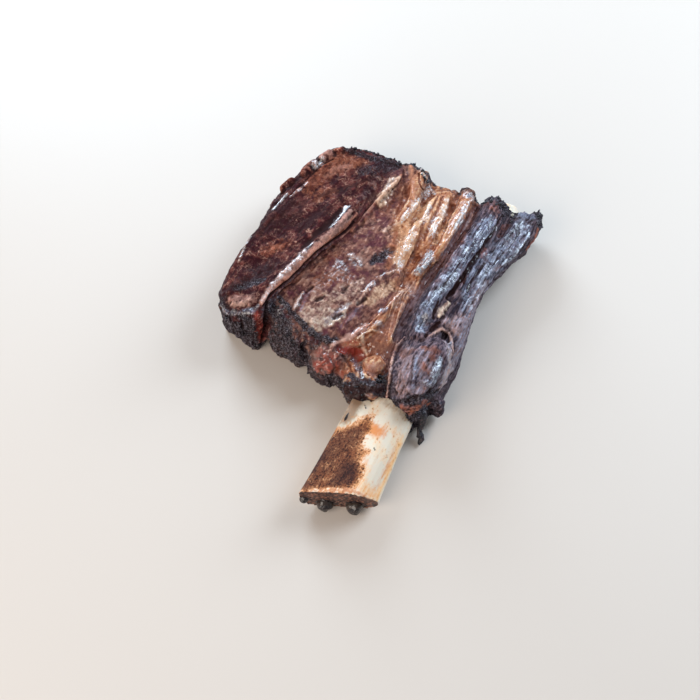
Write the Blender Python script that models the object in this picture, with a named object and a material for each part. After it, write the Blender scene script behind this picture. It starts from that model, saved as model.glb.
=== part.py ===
"""A cooked beef rib: one rib bone with a bare, sawn end, and the layers of meat and fat that cling to it.

The rib lies on its side. Its bone runs along Y with the bare end towards -Y, and the cut face of the
meat looks up. From left to right the layers are the cap muscle, the main muscle, the seam of
fat and sinew, and the rib meat that wraps the bone. The drawing is in millimetres, with Z = 0 where the
rib rests; the finished pieces are in metres, about the centre of their common base.
"""

import math

import bmesh
import bpy
import numpy as np
from mathutils import Matrix, Vector, noise

MM = 0.001

# Driving dimensions, in millimetres.
MEAT_VOXEL = 0.9  # grid that fuses the bundles of meat
MEAT_FACES = 7600  # triangles of the whole meat before it is parted into layers
LAYER_GAP = 0.3  # clear space between two layers
BONE_CLEARANCE = 0.4  # clear space between bone and meat
BASE_SINK = 1.2  # how far the bundles dip below the plane that they rest on
CUTTER_LOW, CUTTER_HIGH = -12.0, 60.0  # heights between which the parting walls run
FAR = 40.0  # how far a parting wall runs past the meat
RIDGE_DEPTH = 15.0  # how far a ridge reaches down into its slab

# Relief of the browned surface, in millimetres: (size of a bump, height, seed).
SWELLS = (17.0, 1.3, 3.0)
LUMPS = (6.5, 0.8, 11.0)
CRAGS = (3.6, 0.9, 23.0)
FIBRE_STRETCH = 2.4  # bumps are this much longer along the rib than across it
CHARRED_FRONT, CHARRED_BACK = -8.0, 91.0  # past these the crags are at their deepest

# Cross-sections of the slabs of meat, front to back:
# (left x, left y, right x, right y, top z at the left, top z at the right).
CAP_SLAB = [
    (-62, -18, -39, -23, 26, 29),
    (-64, -12, -38, -14, 30, 33),
    (-66, 2, -36, -2, 32, 34),
    (-65.5, 20, -31, 17, 33, 34),
    (-65.5, 40, -25, 38, 33, 34),
    (-65, 58, -21, 57, 33, 33),
    (-63, 74, -20, 74, 32, 32),
    (-57.5, 87, -19, 89, 31, 31),
    (-51.5, 93.5, -19, 100, 28, 28),
]
MAIN_SLAB = [
    (-38, -14, 4, -18, 27, 24),
    (-39, -5, 7, -9, 30, 28),
    (-37, 10, 13, 8, 31, 29),
    (-31, 28, 14, 26, 31, 29),
    (-26, 45, 9, 45, 31, 30),
    (-24, 62, 3, 62, 31, 30),
    (-23, 80, -2, 78, 30, 28),
    (-21, 100, -7, 104, 27, 25),
]
FAT_SLAB = [
    (6, -25, 30, -26, 17, 18),
    (5, -14, 30, -14, 22, 20),
    (8, 0, 26, 0, 27, 23),
    (10, 20, 24, 20, 28, 22),
    (6, 40, 25, 40, 28, 23),
    (-2, 60, 27, 60, 28, 23),
    (-6, 78, 27, 78, 27, 22),
    (-8, 98, 27, 101, 22, 19),
]
RIB_SLAB = [
    (28, -24, 43, -23, 22, 16),
    (24, -12, 51, -12.5, 25, 19),
    (21, 4, 52, 4, 25, 20),
    (19, 22, 49.5, 22, 25, 20),
    (20, 42, 46, 42, 25, 20),
    (22, 60, 46.5, 60, 25, 20),
    (24, 80, 50.5, 80, 24, 20),
    (25, 104, 58.5, 105, 21, 19),
]
LOBE_SLAB = [
    (28, -28, 41, -28, 22, 17),
    (26, -18, 47, -18, 27, 23),
    (25, -6, 52, -6.5, 28, 25),
    (26, 4, 52, 5, 28, 25),
    (30, 12, 50, 14, 26, 23),
]

# Ridges that stand on the slabs: (x, y, top z, half-width) along each crest.
RIDGES = {
    "cap_lip": [
        (-43, -18, 31, 5), (-41, -4, 35.5, 4.5), (-38, 6, 36, 4.5), (-35, 19, 36.5, 4.5),
        (-31, 32, 36, 4.5), (-28, 44, 36, 4.5), (-26, 57, 35, 4.5), (-25, 70, 34, 4),
    ],
    "cap_ledge": [
        (-62, -13, 24, 4), (-64, 5, 25, 4), (-64.5, 32, 25, 4), (-65.5, 56, 25, 4.5),
        (-61, 76, 25, 4.5), (-55, 88, 25, 4),
    ],
    "cap_front": [(-58, -16, 27, 6), (-50, -19, 27, 6), (-44, -20, 26, 6)],
    "seam_fat": [(-19, 64, 30, 3), (-18, 74, 32, 4.5), (-18, 86, 31, 4), (-17, 96, 27, 4)],
    "fat_left": [(-5, 53, 31, 4.5), (-2, 63, 33, 5), (-3, 74, 33, 4.5), (-5, 86, 31, 4), (-8, 100, 27, 4)],
    "fat_middle": [
        (9, 28, 30, 4), (7, 40, 32, 5), (6, 54, 33.5, 5), (7, 66, 32.5, 4.5), (6, 78, 30.5, 4),
        (5, 93, 25, 3.5),
    ],
    "fat_thin": [(13, 47, 29.5, 3.5), (13, 60, 31, 3.5), (12, 71, 30.5, 3), (11, 82, 28, 3), (9, 95, 24, 3)],
    "fat_right": [
        (15, 34, 29, 3.5), (18, 45, 31, 4), (21, 56, 31, 4.5), (21, 67, 31, 4.5), (21, 78, 30, 4.5),
        (20, 89, 28, 4.5), (18, 101, 24, 5),
    ],
    "membrane": [(1, -13, 27, 3.5), (6, -7, 29, 3.5), (11, 3, 30, 3.5), (13, 17, 30, 3.5), (16, 30, 29, 3)],
    "sinew": [(21, -3, 26, 3.5), (19, 12, 27, 3.5), (19, 26, 26.5, 3.5), (21, 42, 24, 3)],
    "rib_crest": [
        (33, 4, 29, 6.5), (31, 20, 31, 8), (31, 34, 32, 8), (33, 48, 32, 7.5), (34, 62, 31.5, 7),
        (35, 78, 30, 6.5), (34, 92, 28, 6.5), (33, 103, 25, 6.5),
    ],
    "rib_edge": [
        (48, 0, 23, 5), (47, 14, 24, 5), (45, 26, 25.5, 5), (44, 38, 26, 5), (44, 50, 26, 5.5),
        (46, 66, 26, 6.5), (49.5, 83, 25, 7.5), (52, 103, 23, 7),
    ],
    "rib_lobe": [(41, 11, 29, 7), (41, 2, 32.5, 9), (40, -9, 33.5, 10), (40, -20, 31, 9), (40, -27, 26, 6)],
    "lobe_tip": [(41, -22, 21, 5.5), (43, -27, 17, 4), (44.5, -31, 12, 2.2)],
    "side_flap": [(50, -10, 18, 4), (53, -13, 16, 2.8), (55, -15, 14, 2)],
    "back_corner": [(52, 98, 22, 5), (54, 104, 20, 3.5), (56, 107, 18, 2.2)],
}

# Furrows pressed into the top: (x, y, depth, half-width) along each.
FURROWS = {
    "cap_dish": [(-52, -8, 1.2, 8), (-52, 18, 2.2, 9), (-49, 44, 2.2, 10), (-43, 68, 1.6, 9)],
    "fat_fold": [(2, 52, 1.5, 2), (3, 68, 2.0, 2.2), (1, 84, 1.5, 2.2)],
    "pocket": [(1, -12, 2.5, 3), (8, -11, 5.5, 4), (14, -9, 3.5, 3.5)],
    "rib_groove": [
        (36, 18, 2.5, 3), (36, 30, 5.5, 3.5), (36, 44, 3, 3), (38, 60, 3, 2.6), (41, 76, 2.5, 2.4),
        (42, 92, 2.5, 2.4), (42, 106, 5.5, 3),
    ],
    "lobe_pocket": [(31, 14, 2.5, 3), (35, 15, 4.5, 3.5), (42, 18, 3, 3)],
    "rib_dent": [(47, 74, 2.0, 2.5), (51, 88, 2.5, 3), (52, 98, 1.5, 2.5)],
}

# Rounded lumps at the front: centre (x, y, z) and half-sizes.
LUMPS_OF_MEAT = [
    ((-28, -13, 11), (9, 8, 14)),  # charred corner of the main muscle
    ((-19, -16, 10), (7, 7, 13)),
    ((-4, -17, 11), (10, 8.5, 13)),  # red lobe
    ((19.5, -24.5, 18), (11, 7.5, 9.5)),  # black lump on the bone
    ((15.5, -24, 9), (4.5, 6, 9)),
    ((18, -13, 22), (6, 5, 6)),  # round knot behind it
    ((44, -20, 9), (5.5, 6, 9)),
]

# Walls between the layers: (y, x at the floor, x at the top).
CAP_WALL = [
    (-24, -39, -37), (-12, -39, -37), (2, -37, -35), (17, -33, -31), (31, -28, -26), (45, -25, -23),
    (57, -23, -22), (71, -22, -21), (85, -21, -20), (98, -19, -19),
]
MAIN_WALL = [
    (-26, 11, 8), (-16, 7, 4), (-6, 7, 6), (12, 11, 12), (29, 12, 12), (43, 9, 4),
    (56, 3, -5), (72, -1, -8), (91, -6, -10), (103, -8, -12),
]
FAT_WALL = [
    (-28, 28, 31), (-14, 24, 27), (1, 21, 23), (16, 19, 20), (34, 20, 22), (52, 22, 25),
    (69, 23, 26), (84, 23, 26), (102, 23, 26),
]

# The bone: (y, centre x, top z, half-width, thickness).
BONE_LINE = [
    (-75, 32.2, 18.4, 16.2, 17.8),
    (-60, 31.8, 18.8, 15.4, 17.0),
    (-30, 31.2, 19.8, 14.6, 16.4),
    (0, 31.0, 20.0, 13.6, 16.0),
    (40, 30.4, 19.6, 12.8, 15.4),
    (60, 33.0, 18.0, 12.6, 14.0),
    (80, 37.0, 15.8, 12.0, 11.8),
    (98, 39.5, 15.4, 10.0, 11.2),
    (107.5, 40.0, 14.8, 3.8, 8.4),
]
# The bone's section as shares of half-width and thickness, from the left edge round over the top:
# a flat top on the left, and a long rounded facet down to the right.
BONE_SECTION = [
    (-1.00, 0.60), (-1.00, 0.80), (-0.96, 0.93), (-0.86, 0.99), (-0.60, 1.00), (-0.20, 1.00), (0.12, 1.00),
    (0.32, 0.985), (0.48, 0.94), (0.66, 0.85), (0.84, 0.70), (0.96, 0.52), (1.00, 0.36), (0.97, 0.20),
    (0.85, 0.07), (0.55, 0.01), (0.10, 0.00), (-0.35, 0.00), (-0.72, 0.05), (-0.92, 0.20), (-0.99, 0.40),
]
BONE_SAW_SLANT = 0.44  # the near cut runs back this much for each millimetre to the right
BONE_STEPS = 24
SLANTED_STEPS = 6  # sections over which the slant dies away
BONE_WAVE, BONE_WAVE_SIZE = 0.35, 9.0  # height and size of the bone's gentle unevenness
MARROW_INSET = 2.1  # thickness of the bone's hard wall at its sawn ends
MARROW_DEPTH = 0.8
MARROW_EDGE = 0.5  # width of the step down into the marrow
BEADS = [((26.5, -77.0, 4.6), 3.8), ((39.0, -72.0, 4.2), 3.9), ((17.8, -80.4, 8.5), 2.2)]  # burnt marrow


def clear_scene():
    """Removes whatever the file opened with."""
    for obj in list(bpy.data.objects):
        bpy.data.objects.remove(obj)


def material(name, colour, roughness):
    """A Principled BSDF in one plain colour."""
    made = bpy.data.materials.new(name)
    made.use_nodes = True
    shader = made.node_tree.nodes["Principled BSDF"]
    shader.inputs["Base Color"].default_value = (*colour, 1.0)
    shader.inputs["Roughness"].default_value = roughness
    made.diffuse_color = (*colour, 1.0)
    return made


def along(points, share):
    """The point of a Catmull-Rom curve through points, at share 0 to 1 of their count."""
    place = min(max(share, 0.0), 1.0) * (len(points) - 1)
    first = min(int(place), len(points) - 2)
    t = place - first
    a, b, c, d = (points[min(max(k, 0), len(points) - 1)] for k in range(first - 1, first + 3))
    return [
        0.5 * (2 * q + (r - p) * t + (2 * p - 5 * q + 4 * r - s) * t**2 + (3 * q - p - 3 * r + s) * t**3)
        for p, q, r, s in zip(a, b, c, d)
    ]


def at_y(stations, y):
    """The values of stations, which start with y, read at that y."""
    low, high = 0.0, 1.0
    for _ in range(30):
        middle = (low + high) / 2
        low, high = (middle, high) if along(stations, middle)[0] < y else (low, middle)
    return along(stations, low)


def loft(bm, rings):
    """Joins closed rings of points into one closed tube with flat ends."""
    loops = [[bm.verts.new(point) for point in ring] for ring in rings]
    for near, far in zip(loops, loops[1:]):
        for k in range(len(near)):
            n = (k + 1) % len(near)
            bm.faces.new((near[k], near[n], far[n], far[k]))
    bm.faces.new(reversed(loops[0]))
    bm.faces.new(loops[-1])
    return loops


def rounded_share(share, length, rounding):
    """How much of its full size a section has, so that the loft's ends are rounded over."""
    from_end = min(share, 1 - share) * length
    if from_end >= rounding:
        return 1.0
    return max(math.sqrt(1 - (1 - from_end / rounding) ** 2), 0.25)


def slab(bm, stations, rounding=5.0, squareness=4.5, sides=28, steps=44):
    """A slab of meat lofted through stations, with softly rounded edges and ends."""
    length = math.hypot(stations[-1][0] - stations[0][0], stations[-1][1] - stations[0][1])
    rings = []
    for step in range(steps + 1):
        share = step / steps
        left_x, left_y, right_x, right_y, left_top, right_top = along(stations, share)
        size = rounded_share(share, length, rounding)
        ring = []
        for k in range(sides):
            angle = 2 * math.pi * k / sides
            across = math.copysign(abs(math.cos(angle)) ** (2 / squareness), math.cos(angle)) * size
            upward = math.copysign(abs(math.sin(angle)) ** (2 / squareness), math.sin(angle)) * size
            side = (1 - across) / 2
            top = left_top * side + right_top * (1 - side)
            middle = (top - BASE_SINK) / 2
            ring.append(
                (
                    left_x * side + right_x * (1 - side),
                    left_y * side + right_y * (1 - side),
                    middle + upward * (top + BASE_SINK) / 2,
                )
            )
        rings.append(ring)
    loft(bm, rings)


def ridge(bm, stations, sides=16, steps=30, rounding=4.0):
    """A rounded ridge whose crest follows stations, deep enough to fuse with the slab under it."""
    length = sum(math.dist(a[:2], b[:2]) for a, b in zip(stations, stations[1:]))
    rings = []
    for step in range(steps + 1):
        share = step / steps
        x, y, top, half = along(stations, share)
        ahead = along(stations, min(share + 0.02, 1.0))
        behind = along(stations, max(share - 0.02, 0.0))
        heading = Vector((ahead[0] - behind[0], ahead[1] - behind[1], 0)).normalized()
        across = Vector((heading.y, -heading.x, 0))
        size = rounded_share(share, length, rounding)
        depth = min(RIDGE_DEPTH, top + BASE_SINK)
        centre = Vector((x, y, top - depth / 2))
        ring = []
        for k in range(sides):
            angle = 2 * math.pi * k / sides
            sideways = across * (half * math.cos(angle) * size)
            ring.append(centre + sideways + Vector((0, 0, depth / 2 * math.sin(angle) * size)))
        rings.append(ring)
    loft(bm, rings)


def ball(bm, centre, half_sizes):
    """A rounded lump."""
    place = Matrix.Translation(centre) @ Matrix.Diagonal((*half_sizes, 1.0))
    bmesh.ops.create_icosphere(bm, subdivisions=3, radius=1.0, matrix=place)


def to_object(bm, name):
    """Hands the bmesh over as a linked object, its faces turned outwards."""
    bmesh.ops.recalc_face_normals(bm, faces=bm.faces)
    mesh = bpy.data.meshes.new(name)
    bm.to_mesh(mesh)
    bm.free()
    obj = bpy.data.objects.new(name, mesh)
    bpy.context.scene.collection.objects.link(obj)
    return obj


def apply_modifiers(obj):
    """Replaces the object's mesh by the one that its modifiers make."""
    graph = bpy.context.evaluated_depsgraph_get()
    made = bpy.data.meshes.new_from_object(obj.evaluated_get(graph))
    obj.modifiers.clear()
    obj.data = made


def boolean(obj, other, operation):
    """Applies one Boolean of the object with another."""
    modifier = obj.modifiers.new(operation.lower(), "BOOLEAN")
    modifier.operation = operation
    modifier.solver = "EXACT"
    modifier.object = other
    apply_modifiers(obj)


def fused_bundles():
    """Every slab, ridge and lump of meat, fused into one body."""
    bm = bmesh.new()
    for stations in (CAP_SLAB, MAIN_SLAB, FAT_SLAB, RIB_SLAB, LOBE_SLAB):
        slab(bm, stations)
    for stations in RIDGES.values():
        ridge(bm, stations)
    for centre, half_sizes in LUMPS_OF_MEAT:
        ball(bm, centre, half_sizes)
    meat = to_object(bm, "meat")
    fuse = meat.modifiers.new("fuse", "REMESH")
    fuse.mode = "VOXEL"
    fuse.voxel_size = MEAT_VOXEL
    settle = meat.modifiers.new("settle", "SMOOTH")
    settle.factor = 0.5
    settle.iterations = 3
    apply_modifiers(meat)
    return meat


def furrow_depths(places):
    """How deep the furrows press each place in, from the place's distance to each furrow seen from above."""
    depths = np.zeros(len(places))
    for stations in FURROWS.values():
        path = np.array([along(stations, step / 60) for step in range(61)])
        distance = np.linalg.norm(places[:, None, :2] - path[None, :, :2], axis=2)
        nearest = distance.argmin(axis=1)
        away = distance.min(axis=1) / path[nearest, 3]
        depths = np.maximum(depths, path[nearest, 2] * np.exp(-away**2))
    return depths


def relief(point, size, height, seed):
    """Bumps of one size at a point, stretched along the rib as the fibres of the meat are."""
    where = Vector((point.x, point.y / FIBRE_STRETCH, point.z)) / size
    return height * noise.noise(where + Vector((seed, seed, seed)))


def roughen(meat):
    """Presses the furrows in and raises the uneven, craggy surface of cooked meat."""
    vertices = meat.data.vertices
    normals = [vertex.normal.copy() for vertex in vertices]
    depths = furrow_depths(np.array([vertex.co for vertex in vertices]))
    size, height, seed = CRAGS
    for vertex, normal, depth in zip(vertices, normals, depths):
        point = vertex.co.copy()
        shift = relief(point, *SWELLS) + relief(point, *LUMPS)
        charred = max(point.y - CHARRED_BACK, CHARRED_FRONT - point.y, 0.0) / 8.0
        crag = noise.noise(point / size + Vector((seed, seed, seed)))
        shift += height * crag * (0.5 + min(charred, 1.0))
        vertex.co = point + normal * shift
        vertex.co.z -= depth * max(normal.z, 0.0)


def thin_out(obj, faces):
    """Reduces the mesh to about that many triangles, keeping its creases."""
    triangles = sum(len(polygon.vertices) - 2 for polygon in obj.data.polygons)
    reduce = obj.modifiers.new("reduce", "DECIMATE")
    reduce.ratio = faces / triangles
    reduce.use_collapse_triangulate = True
    apply_modifiers(obj)


def rest_flat(obj):
    """Cuts the underside off level at Z = 0, which leaves the flat places that the rib rests on."""
    bm = bmesh.new()
    bm.from_mesh(obj.data)
    everything = bm.verts[:] + bm.edges[:] + bm.faces[:]
    bmesh.ops.bisect_plane(bm, geom=everything, plane_co=(0, 0, 0), plane_no=(0, 0, -1), clear_outer=True)
    bmesh.ops.holes_fill(bm, edges=[edge for edge in bm.edges if edge.is_boundary], sides=0)
    bmesh.ops.triangulate(bm, faces=[face for face in bm.faces if len(face.verts) > 3])
    bm.to_mesh(obj.data)
    bm.free()


def wall_points(wall, shift):
    """The bottom and top points of a parting wall, run on past both ends of the meat."""
    first, last = wall[0], wall[-1]
    stations = [(first[0] - FAR, *first[1:]), *wall, (last[0] + FAR, *last[1:])]
    points = []
    for y, low_x, high_x in stations:
        lean = (high_x - low_x) / 30.0
        points.append(
            (
                Vector((low_x + lean * CUTTER_LOW + shift, y, CUTTER_LOW)),
                Vector((low_x + lean * CUTTER_HIGH + shift, y, CUTTER_HIGH)),
            )
        )
    return points


def layer_block(name, left, right):
    """The block of space that one layer takes, between two parting walls."""
    far_left = [(-30, -120, -120), (100, -120, -120)]
    far_right = [(-30, 120, 120), (100, 120, 120)]
    bm = bmesh.new()
    sides = []
    for wall, shift in ((left or far_left, LAYER_GAP / 2), (right or far_right, -LAYER_GAP / 2)):
        sides.append([(bm.verts.new(low), bm.verts.new(high)) for low, high in wall_points(wall, shift)])
    for side in sides:
        for (low, high), (next_low, next_high) in zip(side, side[1:]):
            bm.faces.new((low, next_low, next_high, high))
    ends = [(sides[0][k], sides[1][k]) for k in (0, -1)]
    for (left_low, left_high), (right_low, right_high) in ends:
        bm.faces.new((left_low, left_high, right_high, right_low))
    bm.faces.new([low for low, _ in sides[0]] + [low for low, _ in reversed(sides[1])])
    bm.faces.new([high for _, high in sides[0]] + [high for _, high in reversed(sides[1])])
    bmesh.ops.triangulate(bm, faces=bm.faces[:])
    return to_object(bm, name)


def bone_rings(grow):
    """The bone's sections from its sawn near end to its far end, each widened by grow."""
    near_y, far_y = BONE_LINE[0][0], BONE_LINE[-1][0]
    rings = []
    for step in range(BONE_STEPS + 1):
        y = near_y + (far_y - near_y) * step / BONE_STEPS
        _, centre, top, half, thick = at_y(BONE_LINE, y)
        slant = BONE_SAW_SLANT * max(1 - step / SLANTED_STEPS, 0)
        ring = []
        for across, upward in BONE_SECTION:
            x = centre + across * half
            z = top - thick + upward * thick
            wave = BONE_WAVE * noise.noise(Vector((x, y / 2, z)) / BONE_WAVE_SIZE)
            wider = Vector((across * grow, 0, (2 * upward - 1) * grow))
            ring.append(Vector((x + wave, y + slant * (x - centre), z + wave)) + wider)
        rings.append(ring)
    return rings


def bone(name):
    """The rib bone: a D-shaped shaft with a narrow far tip, sunken ends and burnt marrow at the near one."""
    bm = bmesh.new()
    loops = loft(bm, bone_rings(0.0))
    for loop in (loops[0], loops[-1]):
        cap = next(face for face in loop[0].link_faces if len(face.verts) == len(loop))
        bmesh.ops.inset_individual(bm, faces=[cap], thickness=MARROW_INSET, depth=0.0)
        bmesh.ops.inset_individual(bm, faces=[cap], thickness=MARROW_EDGE, depth=-MARROW_DEPTH)
    shaft = to_object(bm, name)
    for k, (centre, radius) in enumerate(BEADS):
        drop = bmesh.new()
        bmesh.ops.create_icosphere(drop, subdivisions=2, radius=radius, matrix=Matrix.Translation(centre))
        bead = to_object(drop, f"bead_{k}")
        boolean(shaft, bead, "UNION")
        bpy.data.objects.remove(bead)
    return shaft


def bone_space():
    """The space in the meat that the bone takes, a little wider than the bone and longer at both ends."""
    rings = bone_rings(BONE_CLEARANCE)
    ahead = [point - Vector((0, FAR, 0)) for point in rings[0]]
    behind = [point + Vector((0, FAR, 0)) for point in rings[-1]]
    bm = bmesh.new()
    loft(bm, [ahead, *rings, behind])
    return to_object(bm, "bone_space")


def drop_scraps(obj):
    """Keeps the largest body of the mesh, without scraps that a cut has freed."""
    bm = bmesh.new()
    bm.from_mesh(obj.data)
    bmesh.ops.remove_doubles(bm, verts=bm.verts, dist=0.001)
    unseen = set(bm.verts)
    bodies = []
    while unseen:
        body, front = set(), [unseen.pop()]
        while front:
            vertex = front.pop()
            body.add(vertex)
            near = [edge.other_vert(vertex) for edge in vertex.link_edges]
            fresh = [other for other in near if other in unseen]
            unseen.difference_update(fresh)
            front.extend(fresh)
        bodies.append(body)
    largest = max(bodies, key=len)
    bmesh.ops.delete(bm, geom=[vertex for vertex in bm.verts if vertex not in largest], context="VERTS")
    bm.to_mesh(obj.data)
    bm.free()


def part_into_layers(meat):
    """Parts the meat along its seams, and takes out the space of the bone."""
    space = bone_space()
    layers = []
    for name, left, right, holds_bone in (
        ("cap_muscle", None, CAP_WALL, False),
        ("main_muscle", CAP_WALL, MAIN_WALL, False),
        ("fat_seam", MAIN_WALL, FAT_WALL, True),
        ("rib_meat", FAT_WALL, None, True),
    ):
        layer = bpy.data.objects.new(name, meat.data.copy())
        bpy.context.scene.collection.objects.link(layer)
        block = layer_block(f"{name}_block", left, right)
        boolean(layer, block, "INTERSECT")
        bpy.data.objects.remove(block)
        if holds_bone:
            boolean(layer, space, "DIFFERENCE")
        drop_scraps(layer)
        layers.append(layer)
    bpy.data.objects.remove(space)
    bpy.data.objects.remove(meat)
    return layers


def centre_on_base(objects):
    """Moves the drawing so that the origin is the centre of its base, and turns millimetres into metres."""
    corners = [vertex.co for obj in objects for vertex in obj.data.vertices]
    low = [min(corner[k] for corner in corners) for k in range(3)]
    high = [max(corner[k] for corner in corners) for k in range(3)]
    middle = Vector(((low[0] + high[0]) / 2, (low[1] + high[1]) / 2, low[2]))
    print("base centre in the drawing, mm:", [round(value, 2) for value in middle])
    for obj in objects:
        obj.data.transform(Matrix.Scale(MM, 4) @ Matrix.Translation(-middle))


def main():
    clear_scene()
    meat = fused_bundles()
    roughen(meat)
    thin_out(meat, MEAT_FACES)
    rest_flat(meat)
    layers = part_into_layers(meat)
    rib_bone = bone("rib_bone")
    pieces = [*layers, rib_bone]
    centre_on_base(pieces)
    finishes = {
        "cap_muscle": ((0.10, 0.035, 0.022), 0.5),
        "main_muscle": ((0.17, 0.075, 0.045), 0.45),
        "fat_seam": ((0.42, 0.21, 0.09), 0.35),
        "rib_meat": ((0.12, 0.065, 0.055), 0.5),
        "rib_bone": ((0.72, 0.60, 0.44), 0.4),
    }
    for piece in pieces:
        piece.data.materials.clear()
        piece.data.materials.append(material(piece.name, *finishes[piece.name]))
        piece.data.shade_smooth()
        piece.data.set_sharp_from_angle(angle=math.radians(50))


main()
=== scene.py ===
import math

import bmesh
import bpy
import numpy as np
from mathutils import Matrix, Vector, noise
from mathutils.bvhtree import BVHTree


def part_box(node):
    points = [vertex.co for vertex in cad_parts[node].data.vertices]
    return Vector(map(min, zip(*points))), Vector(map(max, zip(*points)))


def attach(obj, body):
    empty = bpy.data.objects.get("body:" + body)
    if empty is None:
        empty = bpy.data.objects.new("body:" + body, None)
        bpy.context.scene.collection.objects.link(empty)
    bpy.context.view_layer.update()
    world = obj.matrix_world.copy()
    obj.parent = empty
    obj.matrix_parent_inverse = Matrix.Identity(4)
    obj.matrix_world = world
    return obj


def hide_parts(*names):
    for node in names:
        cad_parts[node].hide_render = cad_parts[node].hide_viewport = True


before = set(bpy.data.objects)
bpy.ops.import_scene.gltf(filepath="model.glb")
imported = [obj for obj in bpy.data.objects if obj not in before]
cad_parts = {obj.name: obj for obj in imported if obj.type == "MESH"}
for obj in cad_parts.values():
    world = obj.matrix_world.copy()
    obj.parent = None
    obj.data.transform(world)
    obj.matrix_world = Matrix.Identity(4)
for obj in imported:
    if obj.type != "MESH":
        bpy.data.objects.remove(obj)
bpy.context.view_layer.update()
mm = 0.001

# The view: it looks down on the rib's cut face, past the bare end of the bone.

view = {
    "azimuth": 27.0,
    "elevation": 61.5,
    "lens": 48.0,
    "sensor": 36.0,
    "distance": 0.46,
    "aim": (0.00574, -0.01298, 0.0),
    "pixels": 700,  # the photograph's width and height
}


def viewAxes():
    turn, rise = math.radians(view["azimuth"]), math.radians(view["elevation"])
    back = Vector((math.sin(turn) * math.cos(rise), -math.cos(turn) * math.cos(rise), math.sin(rise)))
    right = Vector((math.cos(turn), math.sin(turn), 0))
    return back, right, back.cross(right)


def makeCamera():
    back, right, up = viewAxes()
    lens = bpy.data.cameras.new("view")
    lens.lens, lens.sensor_width = view["lens"], view["sensor"]
    camera = bpy.data.objects.new("view", lens)
    bpy.context.scene.collection.objects.link(camera)
    turned = Matrix((right, up, back)).transposed().to_4x4()
    camera.matrix_world = Matrix.Translation(Vector(view["aim"]) + back * view["distance"]) @ turned
    bpy.context.scene.camera = camera


def photoRay(u, v):  # from the camera through a pixel of the photograph
    back, right, up = viewAxes()
    reach = view["lens"] / view["sensor"] * view["pixels"]
    middle = view["pixels"] / 2
    way = right * (u - middle) - up * (v - middle) - back * reach
    return Vector(view["aim"]) + back * view["distance"], way.normalized()


makeCamera()
print("camera set")


# Tools for meshes

def newObject(name, bm):
    mesh = bpy.data.meshes.new(name)
    bm.to_mesh(mesh)
    bm.free()
    mesh.shade_smooth()
    piece = bpy.data.objects.new(name, mesh)
    bpy.context.scene.collection.objects.link(piece)
    return piece


def copyOfNode(node, grow):  # a merged copy of a solid, a little larger all round
    bm = bmesh.new()
    bm.from_mesh(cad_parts[node].data)
    bmesh.ops.remove_doubles(bm, verts=bm.verts, dist=1e-6)
    bm.normal_update()
    for vert in bm.verts:
        vert.co += vert.normal * grow
    return bm


def keepModifiers(piece):
    graph = bpy.context.evaluated_depsgraph_get()
    made = bpy.data.meshes.new_from_object(piece.evaluated_get(graph))
    piece.modifiers.clear()
    piece.data = made


def remesh(piece, voxel, passes):
    grid = piece.modifiers.new("grid", "REMESH")
    grid.mode = "VOXEL"
    grid.voxel_size = voxel
    settle = piece.modifiers.new("settle", "SMOOTH")
    settle.factor = 0.5
    settle.iterations = passes
    keepModifiers(piece)


def finishPiece(piece, material, node=None):  # rides on the rib, and may stand for a solid
    piece.data.materials.append(material)
    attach(piece, "root")
    if node:
        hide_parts(node)


def readVectors(items, field):
    flat = np.empty(len(items) * 3, np.float32)
    items.foreach_get(field, flat)
    return flat.reshape(-1, 3).astype(float)


def movePlaces(piece, places):
    piece.data.vertices.foreach_set("co", places.astype(np.float32).ravel())
    piece.data.update()


def writeMask(piece, name, values):
    mask = piece.data.attributes.new(name, "FLOAT", "POINT")
    mask.data.foreach_set("value", np.clip(values, 0, 1).astype(np.float32))


def readMask(piece, name):
    values = np.empty(len(piece.data.vertices), np.float32)
    piece.data.attributes[name].data.foreach_get("value", values)
    return values


def smoothStep(low, high, value):
    t = np.clip((value - low) / (high - low), 0, 1)
    return t * t * (3 - 2 * t)


def noiseAt(places, size, seed, stretch=(1, 1, 1), octaves=1):  # soft bumps of one size, about -1 to 1
    scaled = (places / (np.array(stretch) * size) + seed).tolist()
    if octaves == 1:
        return np.array([noise.noise(place) for place in scaled]) * 1.6
    return np.array([noise.fractal(place, 0.8, 2.1, octaves) for place in scaled])


def edgesOf(piece):
    pairs = np.empty(len(piece.data.edges) * 2, np.int32)
    piece.data.edges.foreach_get("vertices", pairs)
    return pairs.reshape(-1, 2)


def spread(values, pairs, passes):  # averages values over neighbouring places
    first, second = pairs[:, 0], pairs[:, 1]
    count = len(values)
    flat = values.reshape(count, -1).copy()
    shared = np.bincount(first, minlength=count) + np.bincount(second, minlength=count)
    for _ in range(passes):
        total = np.zeros_like(flat)
        for k in range(flat.shape[1]):
            total[:, k] += np.bincount(first, flat[second, k], count)
            total[:, k] += np.bincount(second, flat[first, k], count)
        flat = 0.5 * flat + 0.5 * total / np.maximum(shared, 1)[:, None]
    return flat.reshape(values.shape)


def surfaceOf(node):  # answers for the distance to a solid
    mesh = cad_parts[node].data
    mesh.calc_loop_triangles()
    corners = [triangle.vertices[:] for triangle in mesh.loop_triangles]
    return BVHTree.FromPolygons([vert.co[:] for vert in mesh.vertices], corners)


# The whole meat as one smooth skin, which the pieces take their shape from

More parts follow.
